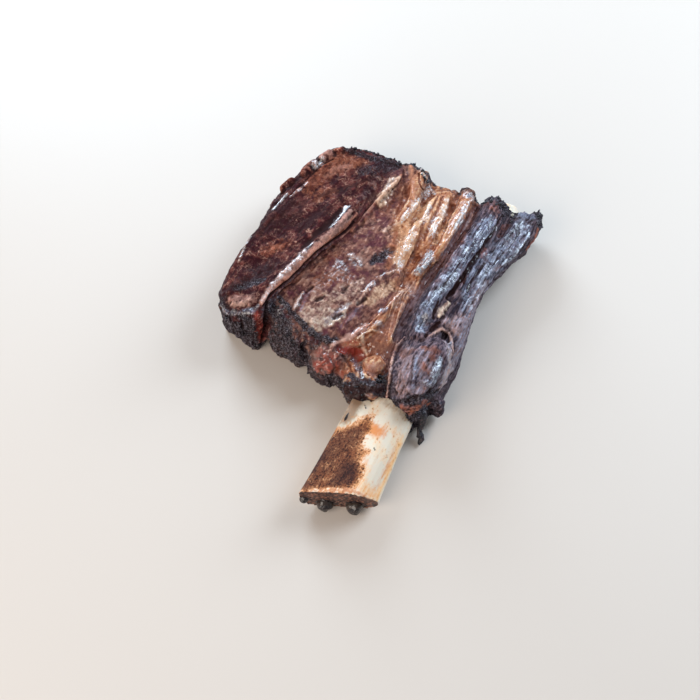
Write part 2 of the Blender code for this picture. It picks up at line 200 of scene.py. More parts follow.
meat = {
    "nodes": ("cap_muscle", "main_muscle", "fat_seam", "rib_meat"),
    "closing": 0.35 * mm,  # closes the gaps between the layers
    "skinVoxel": 0.8 * mm,
    "skinPasses": 8,
    "voxels": {
        "cap_muscle": 0.52 * mm, "main_muscle": 0.46 * mm, "fat_seam": 0.45 * mm, "rib_meat": 0.52 * mm,
    },
    "passes": 2,
    "overlap": 0.25 * mm,
    "skinFacing": 0.55,  # a place this much turned as the skin is, and this near it, is moved onto it
    "skinDepth": 1.6 * mm,
    "fadeFrom": 0.3 * mm,  # from this deep, the relief fades out over so far
    "fade": 3 * mm,
    "bulgePasses": 26,
    "bulgeHeight": 0.5 * mm,  # a ridge this high counts as a full bulge
}


class Skin:  # a smooth mesh that answers for nearest places and for rays
    def __init__(self, piece):
        mesh = piece.data
        mesh.calc_loop_triangles()
        self.places = readVectors(mesh.vertices, "co")
        self.normals = readVectors(mesh.vertex_normals, "vector")
        corners = np.empty(len(mesh.loop_triangles) * 3, np.int32)
        mesh.loop_triangles.foreach_get("vertices", corners)
        self.corners = corners.reshape(-1, 3)
        self.tree = BVHTree.FromPolygons(self.places.tolist(), self.corners.tolist())
        level = spread(self.places, edgesOf(piece), meat["bulgePasses"])
        self.bulges = ((self.places - level) * self.normals).sum(1) / meat["bulgeHeight"]

    def nearest(self, places):  # nearest places, smooth normals, distances and how much each place bulges
        found = [self.tree.find_nearest(place) for place in places.tolist()]
        near = np.array([hit[0] for hit in found])
        triangle = self.corners[[hit[2] for hit in found]]
        a, b, c = (self.places[triangle[:, k]] for k in range(3))
        cross = np.cross(b - a, c - a)
        area = (cross**2).sum(1)
        shareB = (np.cross(near - a, c - a) * cross).sum(1) / area
        shareC = (np.cross(b - a, near - a) * cross).sum(1) / area
        shares = np.stack([1 - shareB - shareC, shareB, shareC], 1)
        normal = (self.normals[triangle] * shares[:, :, None]).sum(1)
        normal /= np.linalg.norm(normal, axis=1, keepdims=True)
        bulge = (self.bulges[triangle] * shares).sum(1)
        return near, normal, np.array([hit[3] for hit in found]), bulge

    def onPhoto(self, u, v):  # the place that a pixel of the photograph shows
        origin, way = photoRay(u, v)
        return self.tree.ray_cast(origin, way)[0]


def makeSkin():
    bm = bmesh.new()
    for node in meat["nodes"]:
        part = copyOfNode(node, meat["closing"])
        mesh = bpy.data.meshes.new(node)
        part.to_mesh(mesh)
        part.free()
        bm.from_mesh(mesh)
        bpy.data.meshes.remove(mesh)
    whole = newObject("whole", bm)
    remesh(whole, meat["skinVoxel"], meat["skinPasses"])
    skin = Skin(whole)
    bpy.data.objects.remove(whole)
    return skin


skin = makeSkin()
print("skin made", len(skin.places))


# Features of the meat, by name. Each follows a line of pixels of the photograph. It reaches so many
# millimetres to either side, stands proud or lies sunken by so many, and sets the strength of some tints.

# The tints include a painted highlight, silver skin with a painted sheen, and a dark tint that also paints
# shade in seams, grooves, creases and pits.
tints = ("char", "deep", "cream", "amber", "red", "rose", "rust", "silver", "glint", "wet", "calm")


def stroke(line, wide, lift=0.0, **strengths):
    return {"line": line, "wide": wide * mm, "lift": lift * mm, "tints": strengths}


capMarks = {
    "darkCentre": stroke([(256, 232), (280, 214), (304, 203)], 7.5, deep=0.5),
    "darkLine": stroke([(320, 196), (334, 190), (350, 186), (366, 180)], 2.2, deep=0.6),
    "darkPatch": stroke([(296, 180), (306, 176), (314, 180)], 2.6, deep=0.45),
    "darkFar": stroke([(300, 228), (318, 214), (334, 206)], 4, deep=0.45),
    "darkFront": stroke([(232, 288), (250, 278), (272, 266)], 5, deep=0.5, char=0.3),
    "blueBlack": stroke([(236, 288), (250, 284), (264, 279)], 2.2, char=0.8),
    "farPatch": stroke([(312, 184), (328, 170), (344, 160), (362, 160)], 6, 0.2, rust=0.6),
    "farPatchLow": stroke([(306, 190), (318, 196), (334, 190)], 4, rust=0.5),
    "farPatchPale": stroke([(326, 176), (338, 168), (350, 166)], 2.4, 0.2, rose=0.55, rust=0.6),
    "middlePatch": stroke([(266, 251), (277, 246), (287, 242)], 4.2, 0.2, rust=0.5, red=0.15),
    "middlePatchPale": stroke([(273, 248), (280, 245)], 1.4, 0.2, rose=0.35, rust=0.8),
    "frontPatch": stroke([(230, 301), (241, 300), (253, 299)], 3.2, 0.3, rose=0.6, red=0.15, char=0),
    "frontPatchWarm": stroke([(231, 304), (243, 303), (250, 299)], 1.6, 0.2, cream=0.5),
    "leftShelf": stroke([(244, 244), (250, 234), (256, 222)], 1.7, -0.8, rust=0.35, char=0.3),
    "leftRim": stroke(
        [(238, 262), (244, 248), (252, 233), (262, 217)], 0.8, 0.5, cream=0.6, wet=1, char=0, calm=0.6,
    ),
    # This and the far gloss stroke below paint highlights on the left rim.
    "leftRimGloss": stroke(
        [(272, 210), (279, 202), (286, 194)], 1.1, 0.6, cream=0.3, glint=0.5, wet=1, char=0, calm=0.5,
    ),
    "leftRimFar": stroke([(290, 197), (299, 189), (308, 182)], 1.2, 0.3, rose=0.5, wet=0.6, char=0),
    "leftRimGlossFar": stroke(
        [(313, 168), (318, 164), (323, 161)], 1.4, 0.4, cream=0.3, glint=0.5, wet=1, char=0, calm=0.4,
    ),
    "ledge": stroke([(304, 173), (309, 168), (315, 163)], 2.6, 3, rust=0.4, rose=0.25, char=0.1),
    "ledgeTan": stroke([(321, 159), (330, 153)], 2.6, 2.6, rose=0.6, rust=0.3, char=0),
    "ledgeLow": stroke([(272, 206), (276, 201)], 1.6, 2, rust=0.3, char=0.5),
    "ledgeKnob": stroke([(284, 190), (289, 185), (293, 181)], 2.5, 3.2, rust=0.4, rose=0.3, char=0.1),
    "ledgeKnobFar": stroke([(336, 151), (342, 150)], 2, 2.2, rust=0.4, red=0.2),
    "ledgeKnobBlack": stroke([(347, 152), (351, 152)], 1.8, 1.8, char=0.9, deep=0.5),
    "ledgeCrease": stroke(
        [(276, 209), (286, 198), (294, 191), (305, 180), (312, 174), (322, 165), (333, 159)],
        0.6, -0.4, deep=0.35,
    ),
    # Painted sheen along the front rim.
    "frontRim": stroke(
        [(219, 306), (228, 312), (240, 313), (252, 311), (258, 306)],
        1.5, 0.4, char=0.45, silver=0.6, rose=0.3, wet=1,
    ),
    "frontFoldA": stroke([(228, 316), (233, 326), (238, 335)], 0.7, -0.6, deep=0.5),
    "frontFoldB": stroke([(240, 316), (243, 328), (246, 342)], 0.7, -0.6, deep=0.5),
    "frontFoldC": stroke([(250, 315), (252, 330), (253, 345)], 0.7, -0.6, deep=0.5),
    "innerFace": stroke([(257, 314), (261, 328), (263, 342)], 2.6, red=0.6, char=0.15),
    "backCrust": stroke(
        [(343, 149), (356, 153), (370, 157), (385, 161), (399, 166)], 2.2, char=0.95, deep=0.75,
    ),
    "farShade": stroke([(362, 172), (378, 166), (395, 170)], 4, char=0.45, deep=0.3),
    # Painted shade in the valley beside the lip.
    "lipValley": stroke(
        [(302, 247), (312, 238), (322, 229), (332, 220), (341, 208)],
        1.8, -0.7, deep=0.8, char=0.2, calm=0.5,
    ),
    "lip": stroke(
        [(262, 302), (270, 290), (280, 279), (291, 268), (304, 257), (320, 243), (336, 228), (350, 211)],
        2.4, 1.2, rose=0.7, rust=0.15, char=0, calm=0.7,
    ),
    "lipBody": stroke(
        [(276, 286), (288, 276), (301, 264), (315, 249), (334, 237), (346, 226), (357, 214)],
        1.8, 0.6, rose=0.5, rust=0.6, char=0, calm=0.7,
    ),
    "lipTan": stroke(
        [(284, 279), (296, 269), (310, 254), (326, 242), (341, 229), (352, 215)],
        1.4, 0.2, cream=0.45, rose=0.8,
    ),
    # Painted highlights along the lip, here and in the next stroke.
    "lipGloss": stroke(
        [(262, 301), (271, 287), (282, 275), (292, 264), (302, 254), (313, 241)],
        1.1, 0.3, cream=0.3, glint=0.45, wet=1, calm=0.3,
    ),
    "lipGlossFar": stroke(
        [(330, 227), (336, 221), (342, 213), (347, 206)], 1.7, 0.4, cream=0.2, glint=0.9, wet=1, calm=0.4,
    ),
    "lipEnd": stroke([(358, 202), (368, 190), (380, 178)], 2.2, 0.3, rose=0.25, char=0.3),
    "lipShade": stroke(
        [(290, 277), (300, 267), (314, 253), (330, 241), (343, 230)],
        0.9, -0.2, rust=0.8, deep=0.5, rose=0.2,
    ),
    # Painted shade in the fold of the seam.
    "seam": stroke(
        [(263, 306), (271, 294), (284, 284), (294, 275), (303, 265), (316, 252), (330, 243), (345, 232),
         (355, 222)],
        0.9, -1.4, deep=1.1, cream=0, rose=0, rust=0, char=0,
    ),
    "seamBank": stroke(
        [(277, 297), (288, 287), (299, 277), (309, 267), (320, 257), (334, 246)],
        1.5, -1.3, rust=0.5, rose=0, cream=0, deep=0.1, char=0,
    ),
    "seamFill": stroke(
        [(270, 303), (280, 291), (293, 282), (307, 271), (321, 257), (334, 245)],
        0.8, 0.7, rust=0.4, rose=0.2, deep=0,
    ),
    "seamFar": stroke(
        [(352, 231), (363, 219), (374, 206), (384, 195), (394, 184), (400, 176)],
        1.5, 1.9, deep=0.25, rust=0.5, char=0,
    ),
    "seamFront": stroke([(262, 345), (266, 330), (266, 315), (268, 303)], 1.6, -1.6, red=0.5, deep=0.5),
}

mainMarks = {
    "frontCorner": stroke([(270, 305), (277, 318), (285, 332), (290, 347)], 4.5, char=0.85, silver=0.25),
    "cornerEdge": stroke([(280, 298), (290, 310), (302, 324), (316, 335), (332, 342)], 2, 0.3, char=0.9),
    "creamField": stroke([(306, 318), (322, 305), (342, 296), (356, 284)], 6.5, 0.2, cream=0.4),
    "creamNear": stroke([(314, 326), (328, 320), (344, 308)], 3.6, 0.2, cream=0.7, wet=0.4),
    "mauveBlotch": stroke([(334, 306), (342, 300)], 2.2, cream=0.1, red=0.15, deep=0.2),
    "brownBlotch": stroke([(318, 280), (326, 276), (334, 278)], 3.2, cream=0, rust=0.5, deep=0.3),
    "creamMiddle": stroke([(298, 316), (308, 320), (320, 312)], 3, 0.2, cream=0.55, rose=0.3),
    "creamFar": stroke([(338, 300), (350, 292), (360, 280)], 2.6, 0.2, cream=0.45, rose=0.2),
    "pitA": stroke([(316, 300), (324, 296)], 1.3, -0.8, deep=0.8),
    "pitB": stroke([(333, 318), (342, 314)], 1.2, -0.7, deep=0.7),
    "pitC": stroke([(343, 292), (348, 286)], 1.3, -0.8, deep=0.7),
    "pitD": stroke([(358, 304), (366, 298)], 1.2, -0.7, deep=0.7),
    "pitE": stroke([(306, 292), (312, 286)], 1.2, -0.7, deep=0.6),
    "mauveStreakA": stroke([(300, 310), (304, 299), (311, 290)], 1.2, silver=0.4, red=0.3),
    "mauveStreakB": stroke([(342, 326), (352, 314), (362, 306)], 1.4, silver=0.35, red=0.3),
    "creamSpot": stroke([(312, 322), (317, 329)], 1.8, 0.4, cream=1),
    "greyStrands": stroke([(326, 322), (337, 313), (350, 303)], 1.4, cream=0.4, silver=0.3),
    "warmField": stroke([(318, 284), (335, 276), (352, 280)], 5, rust=0.4, wet=0.3),
    "brownField": stroke([(310, 262), (325, 255), (340, 262)], 5, rust=0.3, deep=0.15),
    "mauveField": stroke([(352, 240), (368, 246), (385, 238)], 6, deep=0.1, red=0.12),
    "upperField": stroke([(358, 222), (372, 214), (388, 212)], 4, rust=0.3),
    # Painted highlight on the ridge.
    "glossRidge": stroke(
        [(303, 292), (298, 300), (294, 309)], 1.3, 1, cream=0.2, glint=0.5, wet=1, char=0, calm=0.4,
    ),
    "darkSpot": stroke([(372, 261), (382, 256), (393, 249)], 2.6, -0.8, char=0.9),
    "glossBand": stroke(
        [(395, 270), (383, 276), (373, 283), (364, 293), (358, 303)], 1.4, 0.6, cream=0.2, wet=0.9,
    ),
    # The first two clusters of pimples also paint small highlights.
    "pimplesA": stroke([(338, 262), (345, 270)], 2.6, 0.3, wet=0.8, glint=0.3),
    "pimplesB": stroke([(352, 256), (358, 264)], 2.4, 0.3, wet=0.8, glint=0.3),
    "pimplesC": stroke([(389, 256), (394, 264)], 2, 0.3, wet=1),
    "pimplesD": stroke([(283, 300), (278, 312)], 1.8, 0.3, wet=1),
    "tanPatch": stroke([(368, 302), (380, 293), (395, 284)], 3.6, 0.3, cream=0.4, amber=0.6),
    "frontRim": stroke([(303, 327), (315, 335), (330, 340), (346, 342)], 1.8, 0.2, char=0.9),
    "roseBand": stroke(
        [(333, 345), (343, 340), (354, 334), (366, 325)], 1.5, 0.8, rose=0.9, wet=1, char=0, calm=0.7,
    ),
    "redCrease": stroke(
        [(366, 327), (376, 318), (388, 306), (400, 293)], 0.7, 0.5, amber=0.5, red=0.4, wet=1,
    ),
    "pinkLobe": stroke(
        [(316, 354), (325, 353), (334, 357)], 3.2, 0.4, rose=0.4, red=0.35, rust=0.3, char=0.15, wet=0.8,
    ),
    "redLobe": stroke(
        [(318, 366), (327, 366), (336, 367)],
        4.4, 1, red=0.6, rose=0.1, rust=0.7, deep=0.1, char=0.05, wet=0.8,
    ),
    "redLobeStreak": stroke([(330, 358), (334, 366), (333, 374)], 0.8, -0.3, deep=0.5, red=0.4),
    "redLobeDark": stroke([(308, 360), (313, 372), (322, 381)], 1.8, 0.2, char=0.6, deep=0.4),
    "orangeLobe": stroke(
        [(338, 372), (342, 374), (345, 371)],
        2, 0.3, rust=0.7, red=0.4, amber=0.1, char=0, wet=0.7, calm=0.3,
    ),
    "lobeEdge": stroke([(397, 344), (394, 352), (391, 363)], 0.9, 0.6, rose=0.4, cream=0.6, char=0),
    "lobeEdgeLow": stroke([(391, 366), (389, 382), (387, 398)], 0.5, 0.5, rose=0.7, char=0),
    "lobeCreaseLeft": stroke([(303, 345), (305, 358), (308, 372)], 1.6, -1.5, char=0.9),
    "lobeCreaseRight": stroke([(341, 354), (348, 362), (352, 372)], 1, -0.6, deep=0.3),
}

fatMarks = {
    "amberField": stroke(
        [(400, 262), (402, 245), (408, 228), (418, 214), (428, 203)], 6, amber=0.85, char=0,
    ),
    "amberRight": stroke([(440, 200), (436, 215), (428, 232)], 5, amber=0.55, char=0),
    "leftBorder": stroke(
        [(396, 232), (393, 244), (390, 256), (388, 268)], 2, amber=0.4, rust=0.7, red=0.15,
    ),
    "amberNeck": stroke([(404, 236), (400, 248), (396, 260)], 2.4, amber=0.7, cream=0.2),
    "nodule": stroke(
        [(395, 180), (390, 186), (384, 195), (380, 203)],
        3.4, 1.1, cream=0.5, amber=0.6, rust=0, wet=0.3, char=0, calm=0.5,
    ),
    # Painted highlight on the nodule.
    "noduleTop": stroke([(387, 187), (383, 193)], 1.3, 0.5, cream=0.6, glint=0.2, wet=0.9),
    "noduleShade": stroke([(403, 175), (399, 188), (393, 200), (386, 210)], 1.4, -0.5, rust=0.5, deep=0.3),
    "stalkLeft": stroke([(404, 170), (405, 182), (406, 196)], 0.9, -0.5, deep=0.4, rust=0.4),
    "stalkRight": stroke([(418, 172), (420, 182), (424, 190)], 1.1, -0.8, deep=0.5, red=0.2),
    "stalk": stroke(
        [(411, 166), (412, 178), (413, 190), (414, 198)], 2, 0.9, amber=0.5, rust=0.7, char=0, calm=0.8,
    ),
    # Painted highlight along the edge.
    "blueEdge": stroke(
        [(422, 168), (426, 177), (430, 188), (434, 194)],
        1.5, 0.6, glint=0.7, char=0.4, amber=0, cream=0, wet=1,
    ),
    "grooveA": stroke(
        [(424, 222), (421, 236), (415, 252), (408, 266)], 1.5, -0.7, rust=0.6, amber=0.3, cream=0, deep=0.1,
    ),
    "grooveB": stroke([(438, 196), (434, 205), (428, 214)], 1.1, -0.5, rust=0.5, amber=0.4, cream=0),
    "grooveC": stroke(
        [(447, 222), (440, 238), (430, 254), (420, 266)], 1.5, -1, rust=0.6, amber=0.1, cream=0, deep=0.3,
    ),
    "grooveE": stroke([(418, 212), (413, 222), (409, 234)], 0.9, -0.3, rust=0.4, amber=0.5, cream=0),
    "grooveF": stroke([(457, 200), (452, 212), (447, 222)], 1.2, -0.6, rust=0.5, amber=0.3, cream=0),
    "grooveG": stroke([(409, 188), (405, 199), (398, 212)], 2, -0.5, rust=0.6, amber=0, cream=0, deep=0.3),
    "grooveH": stroke(
        [(443, 196), (438, 210), (430, 224), (424, 240)], 1, -0.5, rust=0.6, amber=0.3, cream=0, deep=0.1,
    ),
    # The ridges and the gloss spot below carry painted highlights.
    "ridgeA": stroke(
        [(430, 190), (422, 198), (415, 205), (408, 213), (402, 221)],
        2, 0.5, cream=0.2, glint=0.9, wet=1, calm=0.2,
    ),
    "ridgeB": stroke(
        [(413, 228), (409, 239), (405, 250)], 2.2, 0.25, cream=0.15, glint=0.9, wet=1, calm=0.2,
    ),
    "ridgeBNear": stroke(
        [(402, 254), (400, 266)], 1.8, 0.2, cream=0.2, rose=0.3, glint=0.9, wet=1, calm=0.2,
    ),
    "ridgeBFoot": stroke(
        [(402, 268), (399, 277), (398, 287)], 2.6, 0.9, amber=0.3, rust=0.5, cream=0, wet=0.5, calm=0.3,
    ),
    "ridgeC": stroke(
        [(430, 203), (426, 213), (422, 222)], 1.9, 0.4, cream=0.25, glint=0.5, wet=0.9, calm=0.2,
    ),
    "glossSpot": stroke(
        [(438, 218), (434, 227), (432, 236)], 2.2, 0.5, cream=0.25, glint=0.9, wet=1, calm=0.2,
    ),
    "ridgeD": stroke(
        [(448, 200), (446, 208), (441, 219)], 2, 0.5, cream=0.3, amber=0.5, glint=0.5, wet=0.7, calm=0.2,
    ),
    "amberLow": stroke([(447, 221), (441, 231), (434, 243)], 1.8, amber=0.55, rust=0, deep=0),
    "palePatch": stroke([(384, 230), (391, 227), (398, 225)], 1.9, 0.2, cream=0.4, rose=0.3),
    "hollow": stroke([(453, 205), (450, 215)], 2, -0.8, rust=0.6),
    "knob": stroke(
        [(455, 192), (464, 189), (474, 193)], 2.6, 1, rust=0.5, deep=0.6, silver=0.2, cream=0, amber=0,
    ),
    # Painted sheen on the knob.
    "knobGloss": stroke([(467, 194), (474, 199)], 2, 0.4, silver=0.8, deep=0.3, cream=0, amber=0, wet=1),
    "ridgeE": stroke(
        [(471, 200), (465, 210), (459, 220), (452, 232), (445, 242)],
        2.6, 0.6, amber=0.35, rust=0.4, cream=0.05, wet=0.5, calm=0.2,
    ),
    # Painted highlight along the ridge.
    "ridgeEGloss": stroke(
        [(468, 203), (464, 211), (460, 220), (456, 228)], 1.5, 0.3, glint=1, silver=0.4, cream=0.1, wet=1,
    ),
    # Painted speckled highlights with painted sheen.
    "speckled": stroke(
        [(430, 252), (424, 262), (416, 272)],
        2.8, 0.8, glint=1, silver=0.7, cream=0, amber=0, rust=0.3, wet=1, char=0.35,
    ),
    "valley": stroke(
        [(476, 206), (464, 228), (451, 248), (437, 266), (423, 284), (411, 302), (402, 322), (395, 338)],
        2.4, -1.2, deep=0.15, rust=0.3, silver=0.25,
    ),
    "valleySheen": stroke([(468, 214), (460, 228), (453, 240), (444, 254)], 1.8, silver=0.6, rust=0.1),
    "sinewField": stroke(
        [(412, 284), (402, 298), (395, 314)], 3.4, cream=0.35, amber=0, rust=0.1, rose=0.5, deep=0,
    ),
    "sinewLow": stroke(
        [(394, 318), (389, 328), (384, 336)], 3.4, amber=0, rust=0.2, rose=0.6, deep=0.2, cream=0.05,
    ),
    "archFill": stroke([(370, 341), (376, 338), (382, 335)], 1.8, cream=0.4, rose=0.4, deep=0),
    "sinewA": stroke([(416, 280), (405, 295), (399, 312), (394, 330)], 0.4, 0.4, cream=0.5),
    "sinewB": stroke([(409, 284), (400, 298), (393, 315), (388, 335)], 0.4, 0.3, cream=0.4),
    "sinewC": stroke([(400, 288), (393, 302), (388, 318)], 0.4, 0.4, cream=0.4),
    # Painted sheen on the sinews.
    "sinewGlossA": stroke([(380, 312), (386, 309)], 1.4, 0.3, silver=0.6, wet=1),
    "sinewGlossB": stroke([(376, 322), (383, 326)], 1.4, 0.3, silver=0.5, wet=1),
    "membrane": stroke(
        [(370, 343), (380, 346), (390, 352)],
        4.6, rust=0.6, rose=0.4, amber=0, cream=0, deep=0.45, wet=0.5, calm=0.5,
    ),
    "arch": stroke([(358, 338), (363, 333), (372, 330), (383, 333)], 0.7, 0.3, cream=0.6, wet=1),
    "pocket": stroke(
        [(341, 348), (350, 351), (361, 356)],
        3, -1, red=1, rust=0, amber=0, cream=0, wet=1, char=0, calm=0.8,
    ),
    "pocketTop": stroke(
        [(343, 345), (351, 343), (358, 344)], 1.7, red=0.6, amber=0.7, char=0, wet=1, calm=0.8,
    ),
    "paleRim": stroke([(363, 335), (363, 345), (366, 354)], 1.4, 0.5, cream=0.8, deep=0),
    "blackLump": stroke(
        [(347, 388), (357, 396), (368, 396), (380, 388)],
        5.4, 0.5, char=1, deep=0.8, amber=0, cream=0, rust=0, rose=0, silver=0, wet=0.3,
    ),
    "lumpRose": stroke(
        [(367, 395), (372, 398), (378, 398)], 1.7, 0.2, rose=0.45, red=0.35, char=0.4, deep=0.2,
    ),
    # Painted sheen on the dark neck.
    "lumpNeck": stroke(
        [(350, 374), (358, 381), (370, 383), (384, 382)],
        2, 0.1, char=0.9, deep=0.4, amber=0, cream=0, silver=0.6,
    ),
    "knotFoot": stroke(
        [(376, 378), (381, 380), (384, 376)], 2, 1.4, deep=0.6, char=0.6, cream=0, amber=0, rust=0,
    ),
    "knot": stroke(
        [(370, 368), (374, 371)],
        3.4, 0.6, cream=0, rose=0.9, rust=0.4, amber=0, char=0, deep=0.1, calm=0.7,
    ),
    "knotPit": stroke([(368, 374), (369, 375)], 0.7, -0.5, deep=1, rose=0),
    "knotRim": stroke([(360, 366), (361, 375), (368, 380)], 1.3, -0.3, deep=0.8, cream=0, amber=0),
    # Painted sheen on the knot.
    "knotGloss": stroke([(352, 358), (357, 365), (362, 376)], 1.3, silver=0.7, wet=1),
}

# In the rib meat the silver tint is silver skin with a painted sheen.
ribMarks = {
    "crestBrown": stroke(
        [(478, 206), (470, 225), (460, 245), (448, 265), (436, 285)], 3, 0.6, rust=0.35, char=0,
    ),
    "crestTop": stroke([(484, 203), (492, 203), (498, 210)], 2.6, 0.3, rust=0.4),
    "crestSwirl": stroke([(492, 206), (498, 216), (494, 224)], 0.6, 0.3, rose=0.4),
    "crest": stroke(
        [(490, 220), (484, 232), (477, 243), (469, 255), (461, 266), (452, 277), (443, 288), (433, 299)],
        5.2, 0.2, silver=0.85, char=0, wet=0.3,
    ),
    "crestNear": stroke([(432, 298), (425, 312), (420, 328)], 4.2, silver=0.85, char=0, wet=0.4),
    # Painted highlights on the crest.
    "crestGlossA": stroke([(498, 227), (489, 236), (480, 248)], 1.4, 0.3, glint=0.5, silver=1, wet=0.9),
    "crestGlossB": stroke([(457, 275), (449, 283), (440, 292)], 1.6, 0.4, glint=0.6, silver=1, wet=1),
    # Painted shade in the groove.
    "groove": stroke(
        [(503, 216), (496, 230), (488, 242), (478, 256), (468, 270), (458, 284), (448, 298)],
        1.4, -1.8, deep=0.85, silver=0, char=0,
    ),
    "bank": stroke([(507, 226), (498, 237)], 2.4, rust=0.5, silver=0.1, char=0.1),
    "bankLow": stroke([(487, 248), (482, 256)], 1.6, rust=0.6, red=0.2, silver=0),
    "secondCrest": stroke(
        [(522, 226), (511, 241), (499, 256), (488, 271), (479, 286), (471, 300)],
        6, 0.3, silver=0.8, char=0.05, wet=0.3,
    ),
    "secondDark": stroke([(521, 221), (513, 232), (505, 243)], 3.2, char=0.35, silver=0.5),
    "farCornerBlue": stroke([(520, 213), (532, 216)], 2.4, silver=0.8, char=0.2),
    "secondGroove": stroke([(484, 263), (478, 272), (472, 281), (467, 291)], 0.9, -0.8, deep=0.6, rust=0.3),
    "crackA": stroke([(495, 226), (487, 240), (478, 253)], 0.5, -0.5, deep=0.7, silver=0.2),
    "crackB": stroke([(482, 254), (474, 266), (466, 280)], 0.5, -0.5, deep=0.7, silver=0.2),
    "crackC": stroke([(480, 232), (472, 245), (464, 257)], 0.4, -0.4, deep=0.5, silver=0.2),
    "crackD": stroke([(520, 232), (510, 246), (498, 259), (488, 272)], 0.45, -0.4, deep=0.5, silver=0.3),
    "crackE": stroke([(462, 260), (453, 273), (445, 284)], 0.4, -0.4, deep=0.5, silver=0.3),
    "sideStrand": stroke(
        [(481, 255), (474, 268), (468, 282), (465, 300), (464, 318)], 2.2, silver=0.85, char=0,
    ),
    # Painted highlight along the edge.
    "edgeLine": stroke(
        [(530, 233), (522, 246), (511, 258), (502, 265)], 1, 0.6, glint=0.5, silver=1, wet=1, calm=0.6,
    ),
    "lowRim": stroke([(538, 230), (534, 240), (527, 250)], 1.3, 0.4, rust=0.8, char=0),
    "lowRimNear": stroke([(500, 266), (493, 270)], 1.4, rose=0.6, cream=0.2, char=0),
    "sideLow": stroke(
        [(486, 284), (478, 300), (470, 318), (464, 340), (459, 356)], 5, silver=0.75, rose=0.6, char=0,
    ),
    "bridge": stroke([(446, 322), (454, 328), (460, 318)], 3.2, 0.3, silver=0.6, rose=0.9, char=0),
    "gristle": stroke(
        [(448, 303), (443, 309), (439, 316)], 1.7, 1.2, cream=0.9, amber=0.4, silver=0, char=0,
    ),
    "gristleHole": stroke([(439, 302), (436, 310), (434, 318)], 1.1, -0.8, deep=0.9, silver=0),
    "gristleHoleFar": stroke([(467, 273), (464, 283)], 1.1, -0.6, deep=0.8, rust=0.5, silver=0),
    "lobeTop": stroke([(406, 350), (404, 366), (400, 392)], 5, rose=0.6, rust=0.2, char=0.05, silver=0.4),
    "lobeTopRight": stroke(
        [(424, 350), (426, 370), (420, 390)], 5, rose=0.45, rust=0.25, char=0, silver=0.5,
    ),
    "lobeSide": stroke(
        [(449, 345), (452, 358), (449, 374), (443, 388)], 4.4, silver=0.85, rose=0.9, char=0, wet=0.6,
    ),
    "lobeCrease": stroke([(426, 335), (433, 328), (440, 322)], 1.5, -1.3, deep=0.8, red=0.2),
    "lobeBrow": stroke(
        [(428, 337), (435, 332), (442, 329), (449, 333), (452, 342), (454, 352)],
        1, 0.7, rose=0.6, cream=0.4, char=0,
    ),
    "lobeEdge": stroke(
        [(386, 400), (389, 382), (392, 362), (397, 346), (404, 337)], 0.7, 0.7, rose=0.6, cream=0.4, char=0,
    ),
    "lobeFibreB": stroke([(397, 356), (399, 374), (395, 394)], 0.5, 0.3, cream=0.25),
    "lobeFibreC": stroke([(416, 356), (415, 370), (413, 386)], 1.2, 0.3, cream=0.2, silver=0.9),
    "lobeRedA": stroke(
        [(424, 346), (436, 349), (433, 358)], 2.4, rust=0.65, deep=0.3, silver=0.1, char=0.1,
    ),
    "lobeSpeckle": stroke([(398, 348), (406, 354), (414, 350)], 2.4, rust=0.4, deep=0.45, silver=0.1),
    "lobeRedB": stroke([(424, 364), (428, 372)], 1.8, rust=0.7, silver=0.1, char=0),
    "lobeDark": stroke([(428, 333), (420, 341)], 1.2, -0.5, deep=0.6),
    # Painted highlight on the lobe.
    "lobeGloss": stroke([(441, 360), (438, 368), (434, 377)], 2, 0.4, glint=0.7, silver=1, wet=1, calm=0.3),
    "lobeDarkB": stroke([(414, 352), (411, 372), (405, 390)], 0.5, -0.3, deep=0.5),
    # Painted highlight and sheen on the fibres.
    "lobeFibreD": stroke([(425, 381), (431, 384), (437, 382)], 1.4, 0.3, glint=0.5, silver=0.9),
    "lobeBand": stroke([(400, 402), (413, 399), (428, 396), (440, 391)], 1.8, -0.8, char=0.85),
    "lobeKnob": stroke([(403, 408), (410, 412), (417, 408)], 3.2, 0.4, rust=0.7, rose=0.3, char=0.1),
    "lobeKnobRight": stroke([(424, 402), (430, 404)], 1.6, rust=0.7, char=0.2),
    "flap": stroke([(434, 403), (442, 406)], 1.8, silver=0.4, char=0.3),
}


brush = {  # distances are in widths of a stroke
    "liftFade": (0, 1.5),
    "liftRagged": 0.15,  # how uneven its edge is
    "tintFade": (0.25, 1.55),
    "tintRagged": 0.4,
    "reach": 2.6,  # nothing further off is looked at
    "batch": 4000,  # places at a time
    "thin": 0.6,  # at the ends, of the full width
    "uneven": 0.3,
}


def alongPhoto(surface, line, pace=1.0):  # the line laid on a surface, with a place about every pixel
    laid = []
    for (u, v), (nextU, nextV) in zip(line, line[1:]):
        count = max(int(math.dist((u, v), (nextU, nextV)) / pace), 1)
        for k in range(count + 1):
            share = k / count
            place = surface.onPhoto(u + (nextU - u) * share, v + (nextV - v) * share)
            if place is not None:
                laid.append(place)
    return np.array(laid)


def widthAlong(count, wide):  # a line of natural make: thinner at its ends, uneven between them
    share = (np.arange(count) + 0.5) / count
    uneven = np.array([noise.noise((k * 0.11, wide / mm, count * 0.37)) for k in range(count)])
    full = brush["thin"] + (1 - brush["thin"]) * np.sqrt(np.sin(math.pi * share))
    return wide * full * (1 + brush["uneven"] * uneven)


def reachOf(laid, wide, places):  # which places a line reaches, and how far off they are in widths
    margin = wide * brush["reach"]
    near = np.all((places > laid.min(0) - margin) & (places < laid.max(0) + margin), axis=1)
    which = np.flatnonzero(near)
    widths = widthAlong(len(laid), wide)
    away = np.empty(len(which))
    for start in range(0, len(which), brush["batch"]):
        some = slice(start, start + brush["batch"])
        apart = np.linalg.norm(places[which[some], None] - laid[None], axis=2) / widths[None]
        away[some] = apart.min(1)
    return which, away


